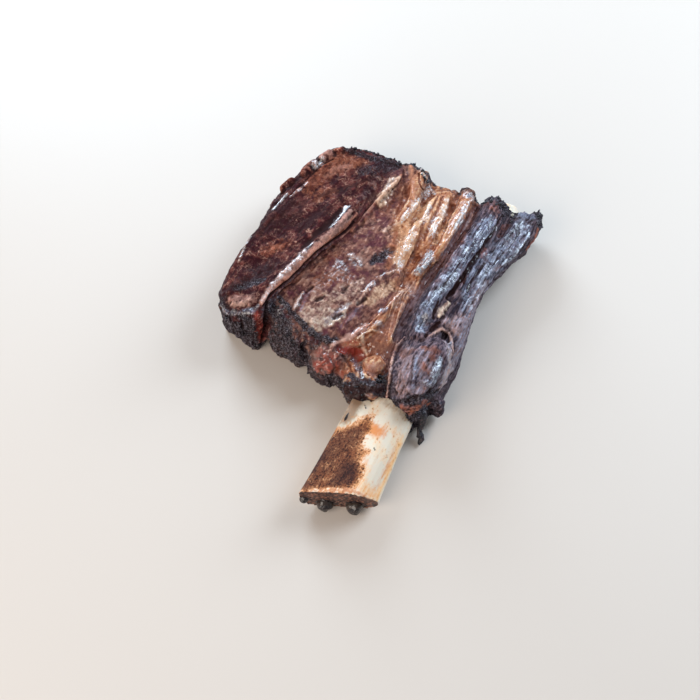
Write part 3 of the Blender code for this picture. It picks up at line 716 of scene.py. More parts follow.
def applyStrokes(surface, strokes, places, ragged, masks):  # paints the masks and gives the lift
    lift = np.zeros(len(places))
    for one in strokes:
        laid = alongPhoto(surface, one["line"])
        if not len(laid):
            continue
        which, away = reachOf(laid, one["wide"], places)
        share = smoothStep(*brush["liftFade"], away + ragged[which] * brush["liftRagged"])
        lift[which] += one["lift"] * (1 - share)
        strength = 1 - smoothStep(*brush["tintFade"], away + ragged[which] * brush["tintRagged"])
        for tint, target in one["tints"].items():
            masks[tint][which] += (target - masks[tint][which]) * strength
    return lift


# Sculpting of the four layers of meat

relief = {  # size of a bump, its height, and how much longer it is along x, y and z
    "swells": (6.0 * mm, 0.40 * mm, (1, 1.6, 1)),
    "lumps": (2.6 * mm, 0.26 * mm, (1, 1.9, 1)),
    "pimples": (1.2 * mm, 0.12 * mm, (1, 1.2, 1)),
    "fibres": (1.3 * mm, 0.12 * mm, (1, 6, 1.3)),
    "crags": (3.4 * mm, 0.65 * mm, (1, 1, 1)),
    "crust": (1.9 * mm, 0.34 * mm, (1, 1.4, 1)),
    "streaks": (2.2 * mm, 0.40 * mm, (1, 1, 5)),
    "ribStrands": (1.9 * mm, 0.46 * mm, (1, 5, 1)),
    "fatRidges": (2.6 * mm, 0.28 * mm, (1, 4, 1)),
    "hollowPasses": 8,
    "hollowDepth": 0.10 * mm,
    "ragged": 2.2 * mm,  # size of the waves in the edge of a stroke
    "boneClearance": (0.6 * mm, 2.5 * mm),  # between these distances to the bone the relief fades in
    "underside": (-0.98, -0.6),  # and between these slopes to the underside
}
crust = {  # the outer faces are charred, more and more between these places and slopes
    "front": (-20 * mm, -36 * mm),
    "frontRagged": 4 * mm,
    "frontFacing": (0.2, 0.8),
    "back": (78 * mm, 88 * mm),
    "backRagged": 5 * mm,
    "sideFacing": (0.45, 0.9),
    "most": 0.95,
}
zoneReach = 4 * mm  # two layers blend over this distance
trees = {node: surfaceOf(node) for node in meat["nodes"]}
boneTree = surfaceOf("rib_bone")


def zoneShare(others, places):  # 1 well inside a layer, 0.5 where it meets another
    away = np.full(len(places), zoneReach)
    for other in others:
        distance = [other.find_nearest(place, zoneReach)[3] for place in places.tolist()]
        away = np.minimum(away, [zoneReach if d is None else d for d in distance])
    return 0.5 + 0.5 * smoothStep(0, 0.875 * zoneReach, away)


def zonesOf(node, near):  # how much each place belongs to each of the layers
    zones = {}
    for other in meat["nodes"]:
        if other == node:
            zones[other] = zoneShare([trees[k] for k in meat["nodes"] if k != node], near)
        else:
            zones[other] = 1 - zoneShare([trees[other]], near)
    return zones


def bumps(name, places, seed, octaves=1):
    size, tall, stretch = relief[name]
    return tall * noiseAt(places, size, seed, stretch, octaves)


def reliefAt(near, normal, masks, zones):  # height of the browned surface at a place
    height = bumps("swells", near, 11.0) + bumps("lumps", near, 23.0)
    height += bumps("pimples", near, 35.0) + bumps("fibres", near, 47.0)
    height += masks["char"] * bumps("crags", near, 83.0, 4)
    height += 0.5 * np.maximum(zones["main_muscle"], masks["cream"]) * bumps("crust", near, 29.0, 2)
    height += smoothStep(0.3, 0.8, -normal[:, 1]) * bumps("streaks", near, 91.0)
    height += zones["rib_meat"] * bumps("ribStrands", near, 59.0, 2)
    height += zones["fat_seam"] * bumps("fatRidges", near, 67.0)
    return height * (1 - 0.75 * masks["calm"])


def charredShare(near, normal, ragged):  # the crust of the outer faces
    y = near[:, 1]
    facing = np.maximum(smoothStep(*crust["frontFacing"], -normal[:, 1]), 0.3)
    front = smoothStep(*crust["front"], y + ragged * crust["frontRagged"])
    back = smoothStep(*crust["back"], y + ragged * crust["backRagged"])
    sides = smoothStep(*crust["sideFacing"], np.abs(normal[:, 0]))
    return np.clip(0.85 * front * facing + 0.75 * back + 0.45 * sides, 0, crust["most"])


def sculptLayer(node, name):
    piece = newObject(name, copyOfNode(node, meat["overlap"]))
    remesh(piece, meat["voxels"][node], meat["passes"])
    places = readVectors(piece.data.vertices, "co")
    own = readVectors(piece.data.vertex_normals, "vector")
    near, normal, depth, bulge = skin.nearest(places)
    onSkin = ((own * normal).sum(1) > meat["skinFacing"]) & (depth < meat["skinDepth"])
    places[onSkin] = near[onSkin] - normal[onSkin] * meat["closing"]
    fade = np.exp(-np.maximum(depth - meat["fadeFrom"], 0) / meat["fade"])

    ragged = noiseAt(near, relief["ragged"], 5.0)
    zones = zonesOf(node, near)
    masks = {tint: np.zeros(len(places)) for tint in tints}
    masks["char"] = charredShare(near, normal, ragged)
    lift = np.zeros(len(places))
    for marks in (capMarks, mainMarks, fatMarks, ribMarks):
        lift += applyStrokes(skin, marks.values(), near, ragged, masks)
    lift += reliefAt(near, normal, masks, zones)
    hollow = (spread(lift, edgesOf(piece), relief["hollowPasses"]) - lift) / relief["hollowDepth"]

    boneAway = np.array([boneTree.find_nearest(place)[3] for place in places.tolist()])
    lift *= smoothStep(*relief["boneClearance"], boneAway)
    lift *= fade * smoothStep(*relief["underside"], normal[:, 2])
    places += normal * lift[:, None]
    places[:, 2] = np.maximum(places[:, 2], 0)
    movePlaces(piece, places)

    writeMask(piece, "hollow", 0.5 + 0.25 * np.clip(hollow, -2, 2))
    writeMask(piece, "bulge", 0.5 + 0.25 * np.clip(bulge, -2, 2))
    for tint, values in masks.items():
        writeMask(piece, tint, values)
    for other, values in zones.items():
        writeMask(piece, "in_" + other, values)
    print(name, "sculpted:", len(piece.data.polygons), "faces")
    return piece


# Shader nodes as expressions

class Wire:  # one output of a material's nodes; sums and products on it add Math nodes
    def __init__(self, tree, socket=None):
        self.tree = tree
        self.socket = socket

    def node(self, kind, settings=None, inputs=None, output=0):
        made = self.tree.nodes.new(kind)
        for name, value in (settings or {}).items():
            setattr(made, name, value)
        for name, value in (inputs or {}).items():
            if isinstance(value, Wire):
                self.tree.links.new(value.socket, made.inputs[name])
            else:
                made.inputs[name].default_value = value
        return None if output is None else Wire(self.tree, made.outputs[output])

    def maths(self, operation, first, second):
        return self.node("ShaderNodeMath", {"operation": operation}, {0: first, 1: second})

    def __add__(self, other):
        return self.maths("ADD", self, other)

    def __radd__(self, other):
        return self.maths("ADD", other, self)

    def __sub__(self, other):
        return self.maths("SUBTRACT", self, other)

    def __rsub__(self, other):
        return self.maths("SUBTRACT", other, self)

    def __mul__(self, other):
        return self.maths("MULTIPLY", self, other)

    def __rmul__(self, other):
        return self.maths("MULTIPLY", other, self)


def newMaterial(name):  # an empty material, ready for its nodes
    material = bpy.data.materials.new(name)
    material.use_nodes = True
    material.node_tree.nodes.clear()
    return material, Wire(material.node_tree)


def between(wire, low, high):  # 0 below low, 1 above high
    limits = {"Value": wire, "From Min": low, "From Max": high}
    return wire.node("ShaderNodeMapRange", {"interpolation_type": "SMOOTHSTEP"}, limits)


def grain(place, size, detail=2.0, roughness=0.55, bend=0.0):  # soft blotches of one size in millimetres
    inputs = {"Vector": place, "Scale": 1 / (size * mm), "Detail": detail}
    inputs |= {"Roughness": roughness, "Distortion": bend}
    return place.node("ShaderNodeTexNoise", {}, inputs)


def stretched(place, x, y, z, turn=0.0):  # turned by so much from the y axis
    inputs = {"Vector": place, "Rotation": (0, 0, turn), "Scale": (x, y, z)}
    return place.node("ShaderNodeMapping", {"vector_type": "TEXTURE"}, inputs)


def mask(start, name):
    return start.node("ShaderNodeAttribute", {"attribute_name": name}, output="Fac")


def mix(share, first, second, blend="MIX"):
    settings = {"data_type": "RGBA", "blend_type": blend}
    return share.node("ShaderNodeMix", settings, {0: share, 6: first, 7: second}, 2)


def bumped(height, strength, depth):  # the normal of a finely uneven surface, depth in millimetres
    inputs = {"Strength": strength, "Distance": depth * mm, "Height": height}
    return height.node("ShaderNodeBump", {}, inputs)


def shade(start, sockets):  # the finished surface
    shader = start.node("ShaderNodeBsdfPrincipled", {}, sockets)
    start.node("ShaderNodeOutputMaterial", {}, {"Surface": shader}, None)


# The roasted meat, in linear light. Most colours are the real surface's own; the glint, the pale sheen on
# silver skin and the brightening of raised places are painted light, and the shade colour and part of the
# dark tint are painted shade.

meatLook = {
    "capDark": (0.030, 0.006, 0.008, 1),
    "capLight": (0.115, 0.030, 0.025, 1),
    "capVein": (0.400, 0.215, 0.155, 1),
    "mainDark": (0.080, 0.032, 0.031, 1),
    "mainLight": (0.225, 0.096, 0.072, 1),
    "mainMauve": (0.095, 0.028, 0.037, 1),
    "mainPale": (0.300, 0.160, 0.125, 1),
    "mainFleck": (0.360, 0.215, 0.155, 1),
    "fatDeep": (0.160, 0.042, 0.021, 1),
    "fatMiddle": (0.400, 0.155, 0.078, 1),
    "fatLight": (0.520, 0.315, 0.180, 1),
    "ribDark": (0.032, 0.025, 0.037, 1),
    "ribLight": (0.150, 0.100, 0.112, 1),
    # dark meat, and painted shade in seams, grooves, creases and pits
    "deep": (0.024, 0.009, 0.009, 1),
    "cream": (0.560, 0.440, 0.345, 1),
    "creamBrown": (0.300, 0.175, 0.135, 1),
    "amber": (0.700, 0.400, 0.230, 1),
    "rose": (0.430, 0.240, 0.195, 1),
    "rust": (0.260, 0.078, 0.040, 1),
    "red": (0.280, 0.030, 0.020, 1),
    # silver skin with a painted sheen, and its paler painted sheen
    "silver": (0.150, 0.172, 0.240, 1),
    "silverPale": (0.340, 0.390, 0.490, 1),
    # a painted highlight
    "glint": (0.62, 0.68, 0.72, 1),
    "char": (0.010, 0.008, 0.011, 1),
    "charPale": (0.135, 0.120, 0.138, 1),
    "crumbPale": (0.060, 0.060, 0.078, 1),
    "shade": (0.018, 0.007, 0.007, 1),
    # brightens raised places: painted light
    "gain": (1.6, 1.6, 1.6, 1),
}


def textures(start):  # the patterns that the meat's colours are made of
    place = start.node("ShaderNodeTexCoord", output="Object")
    along = stretched(place, 1, 4, 1.3, -0.2)  # runs with the fibres of the meat
    return {
        "place": place,
        "tiny": grain(place, 0.5, 2),
        "small": grain(place, 1.3, 3),
        "medium": grain(place, 3.0, 3),
        "broad": grain(place, 7.0, 3),
        "fibre": grain(along, 1.1, 3, bend=0.6),
        "strand": grain(stretched(place, 1, 9, 1), 1.0, 3),
        "bulge": mask(start, "bulge"),
        "hollow": mask(start, "hollow"),
    }


def capColour(t):  # dark and reddish patches
    share = between(t["broad"] + 0.5 * t["medium"] + 0.3 * t["fibre"], 0.82, 1.12)
    return mix(share, meatLook["capDark"], meatLook["capLight"])


def netOf(place, size, low, high):  # lines between cells of one size in millimetres
    inputs = {"Vector": place, "Scale": 1 / (size * mm)}
    edge = place.node("ShaderNodeTexVoronoi", {"feature": "DISTANCE_TO_EDGE"}, inputs)
    return 1 - between(edge, low, high)


def veinShare(t):  # a net of fine pale veins
    colours = t["place"].node("ShaderNodeTexNoise", {}, {"Vector": t["place"], "Scale": 220.0}, "Color")
    bend = colours.node("ShaderNodeVectorMath", {"operation": "SCALE"}, {0: colours, "Scale": 6 * mm})
    bent = bend.node("ShaderNodeVectorMath", {"operation": "ADD"}, {0: t["place"], 1: bend})
    coarse = netOf(bent, 3.6, 0.006, 0.040) * between(t["medium"] + 0.7 * t["broad"], 0.80, 1.0)
    fine = netOf(bent, 1.7, 0.010, 0.070) * between(t["medium"] + 0.5 * t["small"], 0.66, 0.86)
    return coarse + 0.35 * fine


def mainColour(t):
    share = between(t["medium"] + 0.4 * t["small"] + 0.4 * t["fibre"], 0.74, 1.02)
    colour = mix(share, meatLook["mainDark"], meatLook["mainLight"])
    colour = mix(0.85 * between(t["broad"] + 0.5 * t["small"], 0.74, 0.90), colour, meatLook["mainMauve"])
    colour = mix(0.7 * between(0.5 * t["fibre"] - t["broad"], -0.22, -0.06), colour, meatLook["mainPale"])
    flecks = 0.5 * between(t["medium"] + 0.6 * (1 - t["hollow"]), 0.86, 1.1)
    return mix(flecks, colour, meatLook["mainFleck"])


def fatColour(t):  # pale on the ridges, deep brown between them
    height = 0.5 * t["bulge"] + 0.5 * (1 - t["hollow"]) + 0.7 * t["strand"] + 0.4 * t["medium"]
    colour = mix(between(height, 0.84, 1.12), meatLook["fatDeep"], meatLook["fatMiddle"])
    return mix(between(height, 1.08, 1.36), colour, meatLook["fatLight"])


def ribColour(t):
    share = between(0.6 * t["fibre"] + t["strand"], 0.68, 0.92)
    return mix(share, meatLook["ribDark"], meatLook["ribLight"])


def meatMaterial(name):
    material, start = newMaterial(name)
    t = textures(start)
    inFat, inMain = mask(start, "in_fat_seam"), mask(start, "in_main_muscle")
    colour = mix(mask(start, "in_cap_muscle"), mainColour(t), capColour(t))
    colour = mix(inFat, colour, fatColour(t))
    colour = mix(mask(start, "in_rib_meat"), colour, ribColour(t))

    patch = 0.5 * t["small"] + 0.5 * t["medium"] - 0.5  # makes every tint mottled
    for tint in ("amber", "cream", "rose", "rust", "red"):
        painted = mask(start, tint)
        share = between(painted, 0.0, 0.3) * between(painted + 2.4 * patch, 0.0, 1.1)
        paint = meatLook[tint]
        if tint == "cream":
            paint = mix(between(t["medium"] + 0.5 * t["fibre"], 0.62, 0.86), meatLook["creamBrown"], paint)
        colour = mix(0.92 * share, colour, paint)
    veined = mask(start, "in_cap_muscle") + 0.35 * inMain - mask(start, "deep")
    colour = mix(0.75 * veinShare(t) * between(veined, 0.0, 1.0), colour, meatLook["capVein"])
    charShare = between(mask(start, "char") * (1 + patch) + 0.6 * patch, 0.05, 0.85)
    # The colour of painted shade, also used for the fine dark specks: near black, and the fat's deep brown
    # in unburnt fat.
    shadeColour = mix(inFat * (1 - charShare), meatLook["shade"], meatLook["fatDeep"])
    specks = (0.45 - 0.25 * inMain) * between(t["tiny"] + 0.3 * t["small"], 0.68, 0.80)
    colour = mix(specks, colour, shadeColour)
    # Silver skin with a painted sheen, and a brighter painted sheen on its strongest strands.
    sheen = 0.7 * t["strand"] + 0.4 * t["tiny"] + 0.8 * patch
    silver = mask(start, "silver") * between(sheen, 0.38, 0.60)
    colour = mix(0.85 * silver, colour, meatLook["silver"])
    colour = mix(0.55 * silver * between(sheen, 0.57, 0.72), colour, meatLook["silverPale"])
    # Painted highlights where the strokes ask for glints.
    glint = mask(start, "glint") * between(t["tiny"] + 0.6 * t["small"] + 0.3 * t["medium"], 0.93, 1.04)
    colour = mix(0.8 * glint, colour, meatLook["glint"])
    paler = between(t["tiny"] + 0.5 * t["small"], 0.70, 0.92)
    colour = mix(0.95 * charShare, colour, mix(paler, meatLook["char"], meatLook["charPale"]))
    colour = mix(0.92 * between(mask(start, "deep") + 0.4 * patch, 0.1, 0.9), colour, meatLook["deep"])
    # Painted shade in hollows and low places, and painted light brightening the raised places.
    colour = mix((0.75 - 0.25 * inMain) * between(t["hollow"], 0.54, 0.90), colour, shadeColour)
    colour = mix(0.55 * between(t["bulge"], 0.38, 0.0), colour, shadeColour)
    colour = mix(between(t["hollow"], 0.44, 0.08), colour, meatLook["gain"], "MULTIPLY")

    wetness = mask(start, "wet") + 0.3 * silver + inFat * (0.30 - 0.35 * charShare) + 0.12 * inMain
    wet = between(wetness + 1.4 * patch, 0.15, 0.75)
    height = 0.5 * t["fibre"] + 0.3 * t["tiny"] + 0.5 * t["small"]
    shade(start, {
        "Base Color": colour,
        "Roughness": 0.60 - 0.30 * wet,
        "Coat Weight": wet,
        "Coat Roughness": 0.12,
        "Coat IOR": 1.6,
        "Specular IOR Level": 0.03,
        "Normal": bumped(height, 0.5, 0.24),
    })
    return material


layers = {}
for node, name, slot in (
    ("cap_muscle", "cap_flesh", "seared_meat"),
    ("main_muscle", "main_flesh", "roasted_meat"),
    ("fat_seam", "fat_flesh", "rendered_fat"),
    ("rib_meat", "rib_flesh", "charred_meat"),
):
    layers[node] = sculptLayer(node, name)
    finishPiece(layers[node], meatMaterial(slot), node)


# The bare bone, sawn at both ends

boneLook = {
    "cream": (0.78, 0.68, 0.55, 1),
    "tan": (0.960, 0.570, 0.260, 1),
    # painted shade on the bone's upper-left facet
    "grey": (0.47, 0.40, 0.30, 1),
    # painted shadow cast by the meat, with a little juice stain
    "juice": (0.30, 0.185, 0.115, 1),
    "halo": (0.740, 0.300, 0.100, 1),
    "stain": (0.085, 0.023, 0.013, 1),
    "stainRed": (0.210, 0.056, 0.020, 1),
    "stainDark": (0.036, 0.011, 0.010, 1),
    "orange": (0.72, 0.25, 0.075, 1),
    "rim": (0.560, 0.235, 0.120, 1),
    "end": (0.046, 0.026, 0.024, 1),
    "endPale": (0.30, 0.135, 0.090, 1),
    "burnt": (0.014, 0.010, 0.011, 1),
    "pore": (0.020, 0.008, 0.007, 1),
}
bone = {
    "skinVoxel": 0.7 * mm,
    "voxel": 0.5 * mm,
    "softPasses": 22,  # blurs the edges of the stains, and of the painted shade and painted shadow
    "skinPasses": 4,
    "passes": 3,
    "ragged": 1.6 * mm,
    "sawDirection": (0.40, -0.91, 0.0),  # outward from the near cut
    "nearEnd": (22 * mm, 16 * mm),  # the near end starts between these lengths
    "endFacing": (0.42, 0.65),  # slopes towards the cut at which the sawn face and its rim start
    "rimFacing": (0.20, 0.38),
    "pits": (1.3 * mm, 0.35 * mm),  # of the sawn core: size and depth
    "swells": (6.0 * mm, 0.12 * mm),
    "hollowPasses": 5,
    "hollowDepth": 0.15 * mm,
    "lowest": 0.2 * mm,
    "beadEdge": (1.25, 1.05),  # a bead of marrow starts between these radii
    "beads": {  # burnt marrow at the near cut: middle and radius
        "left": ((0.03224, -0.08998, 0.0046), 4.0 * mm),
        "right": ((0.04474, -0.08498, 0.0042), 4.1 * mm),
        "small": ((0.02354, -0.09338, 0.0085), 2.3 * mm),
    },
}
boneTints = ("stain", "orange", "tan", "grey", "juice", "end", "rim", "burnt")
boneMarks = {
    # Painted shade along the bone's upper-left side and top.
    "greySide": stroke([(312, 468), (325, 448), (338, 430), (350, 412), (356, 402)], 4.5, grey=0.7),
    "greyTop": stroke([(344, 422), (352, 411), (361, 404)], 3.6, grey=0.8),
    # Painted shadow of the meat on the bone, with a little juice stain.
    "juiceNear": stroke([(344, 420), (350, 410), (357, 401)], 3.2, juice=1.2),
    "juiceFar": stroke([(383, 401), (397, 409), (406, 420)], 2, juice=0.6),
    "stainLeft": stroke([(299, 491), (314, 468), (328, 449), (339, 435)], 5.5, stain=1),
    "stainSide": stroke([(301, 489), (312, 470), (323, 450), (333, 433), (340, 421)], 3, stain=1.2),
    "stainMiddle": stroke([(312, 489), (326, 470), (340, 449), (352, 434)], 6, stain=1),
    "stainDarkLeft": stroke([(298, 493), (303, 487), (312, 470), (322, 454)], 2.2, stain=1.3),
    "stainRight": stroke([(332, 488), (342, 468), (351, 448), (360, 431), (368, 420)], 4.2, stain=0.9),
    "stainLow": stroke([(340, 488), (350, 480), (358, 468)], 3.8, stain=0.85),
    "stainTip": stroke([(366, 422), (374, 415)], 1.6, stain=0.6),
    "stainCore": stroke([(330, 486), (338, 480), (345, 473), (351, 464)], 3, stain=1.15),
    "stainCoreRed": stroke([(346, 482), (352, 474), (357, 462)], 1.6, stain=1.15),
    "stainCoreFar": stroke([(350, 440), (358, 432)], 2.4, stain=1),
    "orangeBelow": stroke([(357, 484), (362, 468), (368, 452)], 3.2, orange=0.55),
    "orangeTip": stroke([(362, 426), (373, 428), (382, 434)], 3.2, orange=1),
    "orangeDotA": stroke([(380, 433), (386, 435)], 1.2, orange=0.8),
    "orangeDotB": stroke([(392, 432), (395, 434)], 1.2, orange=0.7),
    "stainEdge": stroke([(357, 457), (367, 450)], 2, stain=0.7),
    "warmLow": stroke([(360, 484), (366, 475), (372, 463)], 2.8, tan=0.5, orange=0.3),
    "whitePatch": stroke([(374, 462), (380, 452), (387, 442)], 3, orange=0, tan=0, stain=0, grey=0.15),
    "orangeLine": stroke([(396, 446), (387, 466), (377, 487)], 1.2, orange=0.8),
    "orangeLow": stroke([(368, 494), (376, 488), (383, 476)], 1.4, orange=0.5),
    "rimBand": stroke(
        [(304, 493), (315, 491), (329, 490), (343, 490), (356, 492), (367, 498), (374, 503)],
        1.1, 0.1, rim=0.85, stain=0.1, orange=0.6, tan=0.4,
    ),
    "tanEdge": stroke([(403, 436), (396, 452), (389, 470), (381, 488), (376, 501)], 1.8, tan=1, orange=0.3),
    "tanCorner": stroke([(360, 486), (369, 490), (376, 497)], 2.8, tan=0.7, orange=0.45),
    "flakeA": stroke([(364, 404), (366, 409)], 0.45, 0.3, burnt=0.9),
    "flakeB": stroke([(345, 420), (349, 412)], 0.5, 0.3, burnt=0.9),
    "flakeC": stroke([(331, 441), (334, 437)], 0.6, 0.3, burnt=0.8),
    "flakeD": stroke([(374, 448), (375, 450)], 0.4, burnt=0.7),
    "flakeE": stroke([(386, 455), (387, 457)], 0.4, burnt=0.6),
    "flakeF": stroke([(383, 464), (384, 465)], 0.35, burnt=0.6),
    "flakeG": stroke([(369, 421), (371, 418)], 0.5, burnt=0.7),
}


def boneSkin():
    smooth = newObject("bone_skin", copyOfNode("rib_bone", 0))
    remesh(smooth, bone["skinVoxel"], bone["skinPasses"])
    surface = Skin(smooth)
    bpy.data.objects.remove(smooth)
    return surface


def pushBeads(places, masks):  # the surface is drawn out to round beads of marrow
    start, full = bone["beadEdge"]
    for centre, radius in bone["beads"].values():
        arm = places - np.array(centre)
        away = np.linalg.norm(arm, axis=1)
        bead = smoothStep(radius * start, radius * full, away)
        masks["burnt"] = np.maximum(masks["burnt"], bead)
        drop = radius * (0.92 + 0.10 * noiseAt(places, 3 * mm, 17.0))
        places += arm * (0.9 * bead * (drop / away - 1))[:, None]


def sculptBone():
    surface = boneSkin()
    piece = newObject("bone_shaft", copyOfNode("rib_bone", 0))
    remesh(piece, bone["voxel"], bone["passes"])
    places = readVectors(piece.data.vertices, "co")
    own = readVectors(piece.data.vertex_normals, "vector")
    ragged = noiseAt(places, bone["ragged"], 5.0, (1, 3, 1))
    masks = {tint: np.zeros(len(places)) for tint in boneTints}
    lift = applyStrokes(surface, boneMarks.values(), places, ragged, masks)
    outward = own @ np.array(bone["sawDirection"])
    nearEnd = smoothStep(*bone["nearEnd"], places[:, 1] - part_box("rib_bone")[0].y)
    masks["end"] = smoothStep(*bone["endFacing"], outward) * nearEnd
    pushBeads(places, masks)
    rim = smoothStep(*bone["rimFacing"], outward) * nearEnd
    masks["rim"] = np.maximum(masks["rim"], rim) * (1 - masks["end"])
    pairs = edgesOf(piece)
    for tint in ("stain", "orange", "tan", "grey", "juice"):
        masks[tint] = spread(masks[tint], pairs, bone["softPasses"])
    size, depth = bone["pits"]
    pit = np.minimum(0, noiseAt(places, size, 61.0) + 0.1)
    lift += depth * pit * (masks["end"] + 0.25 * masks["stain"])
    size, height = bone["swells"]
    lift += height * noiseAt(places, size, 71.0, (1, 2.5, 1))
    places += own * lift[:, None]
    places[:, 2] = np.maximum(places[:, 2], bone["lowest"])
    movePlaces(piece, places)
    own = readVectors(piece.data.vertex_normals, "vector")
    sunk = ((spread(places, pairs, bone["hollowPasses"]) - places) * own).sum(1) / bone["hollowDepth"]
    writeMask(piece, "hollow", 0.5 + 0.5 * np.clip(sunk, -1, 1))
    masks["stain"] *= 0.7  # writeMask stops at 1, and strokes of stain go beyond it
    for tint, values in masks.items():
        writeMask(piece, tint, values)
    print("bone sculpted:", len(piece.data.polygons), "faces")
    return piece


def boneMaterial(name):
    material, start = newMaterial(name)
    look = boneLook
    place = start.node("ShaderNodeTexCoord", output="Object")
    tiny = grain(stretched(place, 1, 1.6, 1, -0.35), 0.55, 3, 0.65)
    small = grain(place, 1.3, 3, 0.6)
    broad = grain(place, 6.0, 3)
    streak = grain(stretched(place, 1, 5, 1, -0.12), 1.0, 3, 0.6)
    patch = 0.5 * small + 0.3 * broad + 0.7 * streak - 0.75
    colour = mix(0.4 * between(broad + 0.5 * streak, 0.66, 0.95), look["cream"], look["tan"])
    for tint in ("grey", "juice", "tan", "orange"):
        share = between(mask(start, tint) + 1.2 * patch, 0.08, 0.95)
        colour = mix(0.92 * share, colour, look[tint])

    level = 1.4 * mask(start, "stain") + 0.8 * tiny + 0.7 * streak + 1.0 * small + 0.9 * broad - 1.7
    colour = mix(0.85 * between(level, 0.12, 0.50), colour, look["halo"])
    redder = between(small + 0.8 * broad + 0.5 * streak, 1.02, 1.30)
    colour = mix(0.92 * between(level, 0.30, 0.88), colour, mix(redder, look["stain"], look["stainRed"]))
    colour = mix(0.92 * between(level, 0.76, 1.25), colour, look["stainDark"])
    pores = between(0.7 * tiny + 0.5 * streak + 0.06 * level, 0.66, 0.78)
    colour = mix(0.85 * pores * between(level, 0.2, 0.7), colour, look["pore"])
    colour = mix(0.85 * between(mask(start, "rim") + 2.2 * patch, 0.35, 1.15), colour, look["rim"])
    colour = mix(0.7 * between(tiny + 0.4 * broad + 0.2 * small, 1.02, 1.08), colour, look["stain"])
    sawn = mix(between(small + 0.4 * tiny, 0.66, 0.86), look["end"], look["endPale"])
    colour = mix(between(mask(start, "end") + 0.3 * patch, 0.35, 0.6), colour, sawn)
    burnt = mask(start, "burnt")
    colour = mix(0.95 * between(burnt + 0.3 * patch, 0.3, 0.6), colour, look["burnt"])
    # Darker in the sunken places, such as the pits.
    colour = mix(0.6 * between(mask(start, "hollow"), 0.55, 0.95), colour, look["pore"])
    stained = between(level, 0.2, 0.6)
    shade(start, {
        "Base Color": colour,
        "Roughness": 0.40 + 0.2 * (small - 0.5) + 0.25 * stained - 0.2 * burnt,
        "Coat Weight": 0.6 * between(burnt, 0.4, 0.8),
        "Coat Roughness": 0.18,
        "Specular IOR Level": 0.2,
        "Subsurface Weight": 0.08,
        "Subsurface Radius": (1, 0.5, 0.3),
        "Subsurface Scale": 1.0 * mm,
        "Normal": bumped(0.5 * tiny + 0.4 * small + 0.4 * streak, 0.45, 0.2),
    })
    return material


finishPiece(sculptBone(), boneMaterial("bone"), "rib_bone")


# Loose char, beads of fat and torn threads

loose = {
    "crumbs": {"count": 750, "radius": (0.30 * mm, 0.80 * mm), "mask": "char", "least": 0.55, "seed": 7},
    "beads": {"count": 90, "radius": (0.20 * mm, 0.45 * mm), "mask": "amber", "least": 0.50, "seed": 19},
    "lowest": 1.5 * mm,  # none starts lower, deeper in the meat or on a face that looks further down
    "deepest": 1.5 * mm,
    "facing": -0.3,
    "crumbStretch": (0.6, 1.2),
    "crumbUneven": 0.18,
    "beadStretch": (0.8, 1.4),
    "beadHeight": 0.6,
    "nubs": {"pace": 4.0, "radius": (0.7 * mm, 1.35 * mm), "stray": 0.4 * mm},
    "shreds": {"size": 1.6 * mm, "height": 0.6 * mm, "lowest": 0.1 * mm},
}
nubLines = {  # where burnt nubs line an edge of the meat
    "knotFoot": [(376, 378), (378, 382), (383, 382), (384, 378), (381, 376), (378, 377)],
    "capBack": [(343, 146), (356, 149), (370, 152), (385, 156), (399, 162)],
    "stalkBack": [(402, 164), (414, 165), (422, 170), (427, 182)],
    "ribBack": [(482, 201), (496, 203), (504, 208)],
    "farCorner": [(520, 209), (531, 211), (538, 216)],
}
threads = {  # lines of pixels, heights in millimetres where they leave the meat, and radii in millimetres
    "shred": (
        [(420, 410), (423, 417), (422, 424), (419, 430), (420, 436), (422, 439), (418, 445)],
        [14, 11, 7.5, 5, 3.4, 2.6, 1.2],
        [2.6, 2.5, 1.9, 1.1, 1.7, 1.6, 0.6],
    ),
    "hook": ([(414, 424), (410, 430), (407, 435)], [6, 4, 2.5], [1.3, 0.8, 0.35]),
    "hair": ([(536, 217), (538, 213), (540, 209)], [15, 17, 19], [0.7, 0.5, 0.3]),
}


def seedsOn(settings):  # places on the meat where a mask is strong, well above the floor
    chosen = []
    for piece in layers.values():
        places = readVectors(piece.data.vertices, "co")
        facing = readVectors(piece.data.vertex_normals, "vector")[:, 2]
        strong = readMask(piece, settings["mask"]) > settings["least"]
        places = places[strong & (places[:, 2] > loose["lowest"]) & (facing > loose["facing"])]
        if len(places):
            chosen.append(places[skin.nearest(places)[2] < loose["deepest"]])
    return np.concatenate(chosen)


def randomTurn(draws):
    axis = Vector(draws.normal(size=3)).normalized()
    return Matrix.Rotation(draws.uniform(0, 2 * math.pi), 4, axis)


def addCrumb(bm, place, radius, draws):  # a small angular lump, half sunk
    scale = Matrix.Diagonal((*draws.uniform(*loose["crumbStretch"], 3), 1))
    turned = Matrix.Translation(place) @ randomTurn(draws) @ scale
    made = bmesh.ops.create_icosphere(bm, subdivisions=1, radius=radius, matrix=turned)["verts"]
    for vert in made:
        vert.co += Vector(draws.normal(0, loose["crumbUneven"] * radius, 3))
        vert.co.z = max(vert.co.z, 0)


def makeCrumbs():
    settings, edge = loose["crumbs"], loose["nubs"]
    draws = np.random.default_rng(settings["seed"])
    bm = bmesh.new()
    seeds = seedsOn(settings)
    for place in seeds[draws.choice(len(seeds), settings["count"], replace=False)]:
        addCrumb(bm, place, draws.uniform(*settings["radius"]), draws)
    for line in nubLines.values():
        for place in alongPhoto(skin, line, edge["pace"]):
            place += draws.normal(0, edge["stray"], 3)
            addCrumb(bm, place, draws.uniform(*edge["radius"]), draws)
    return newObject("char_crumbs", bm)


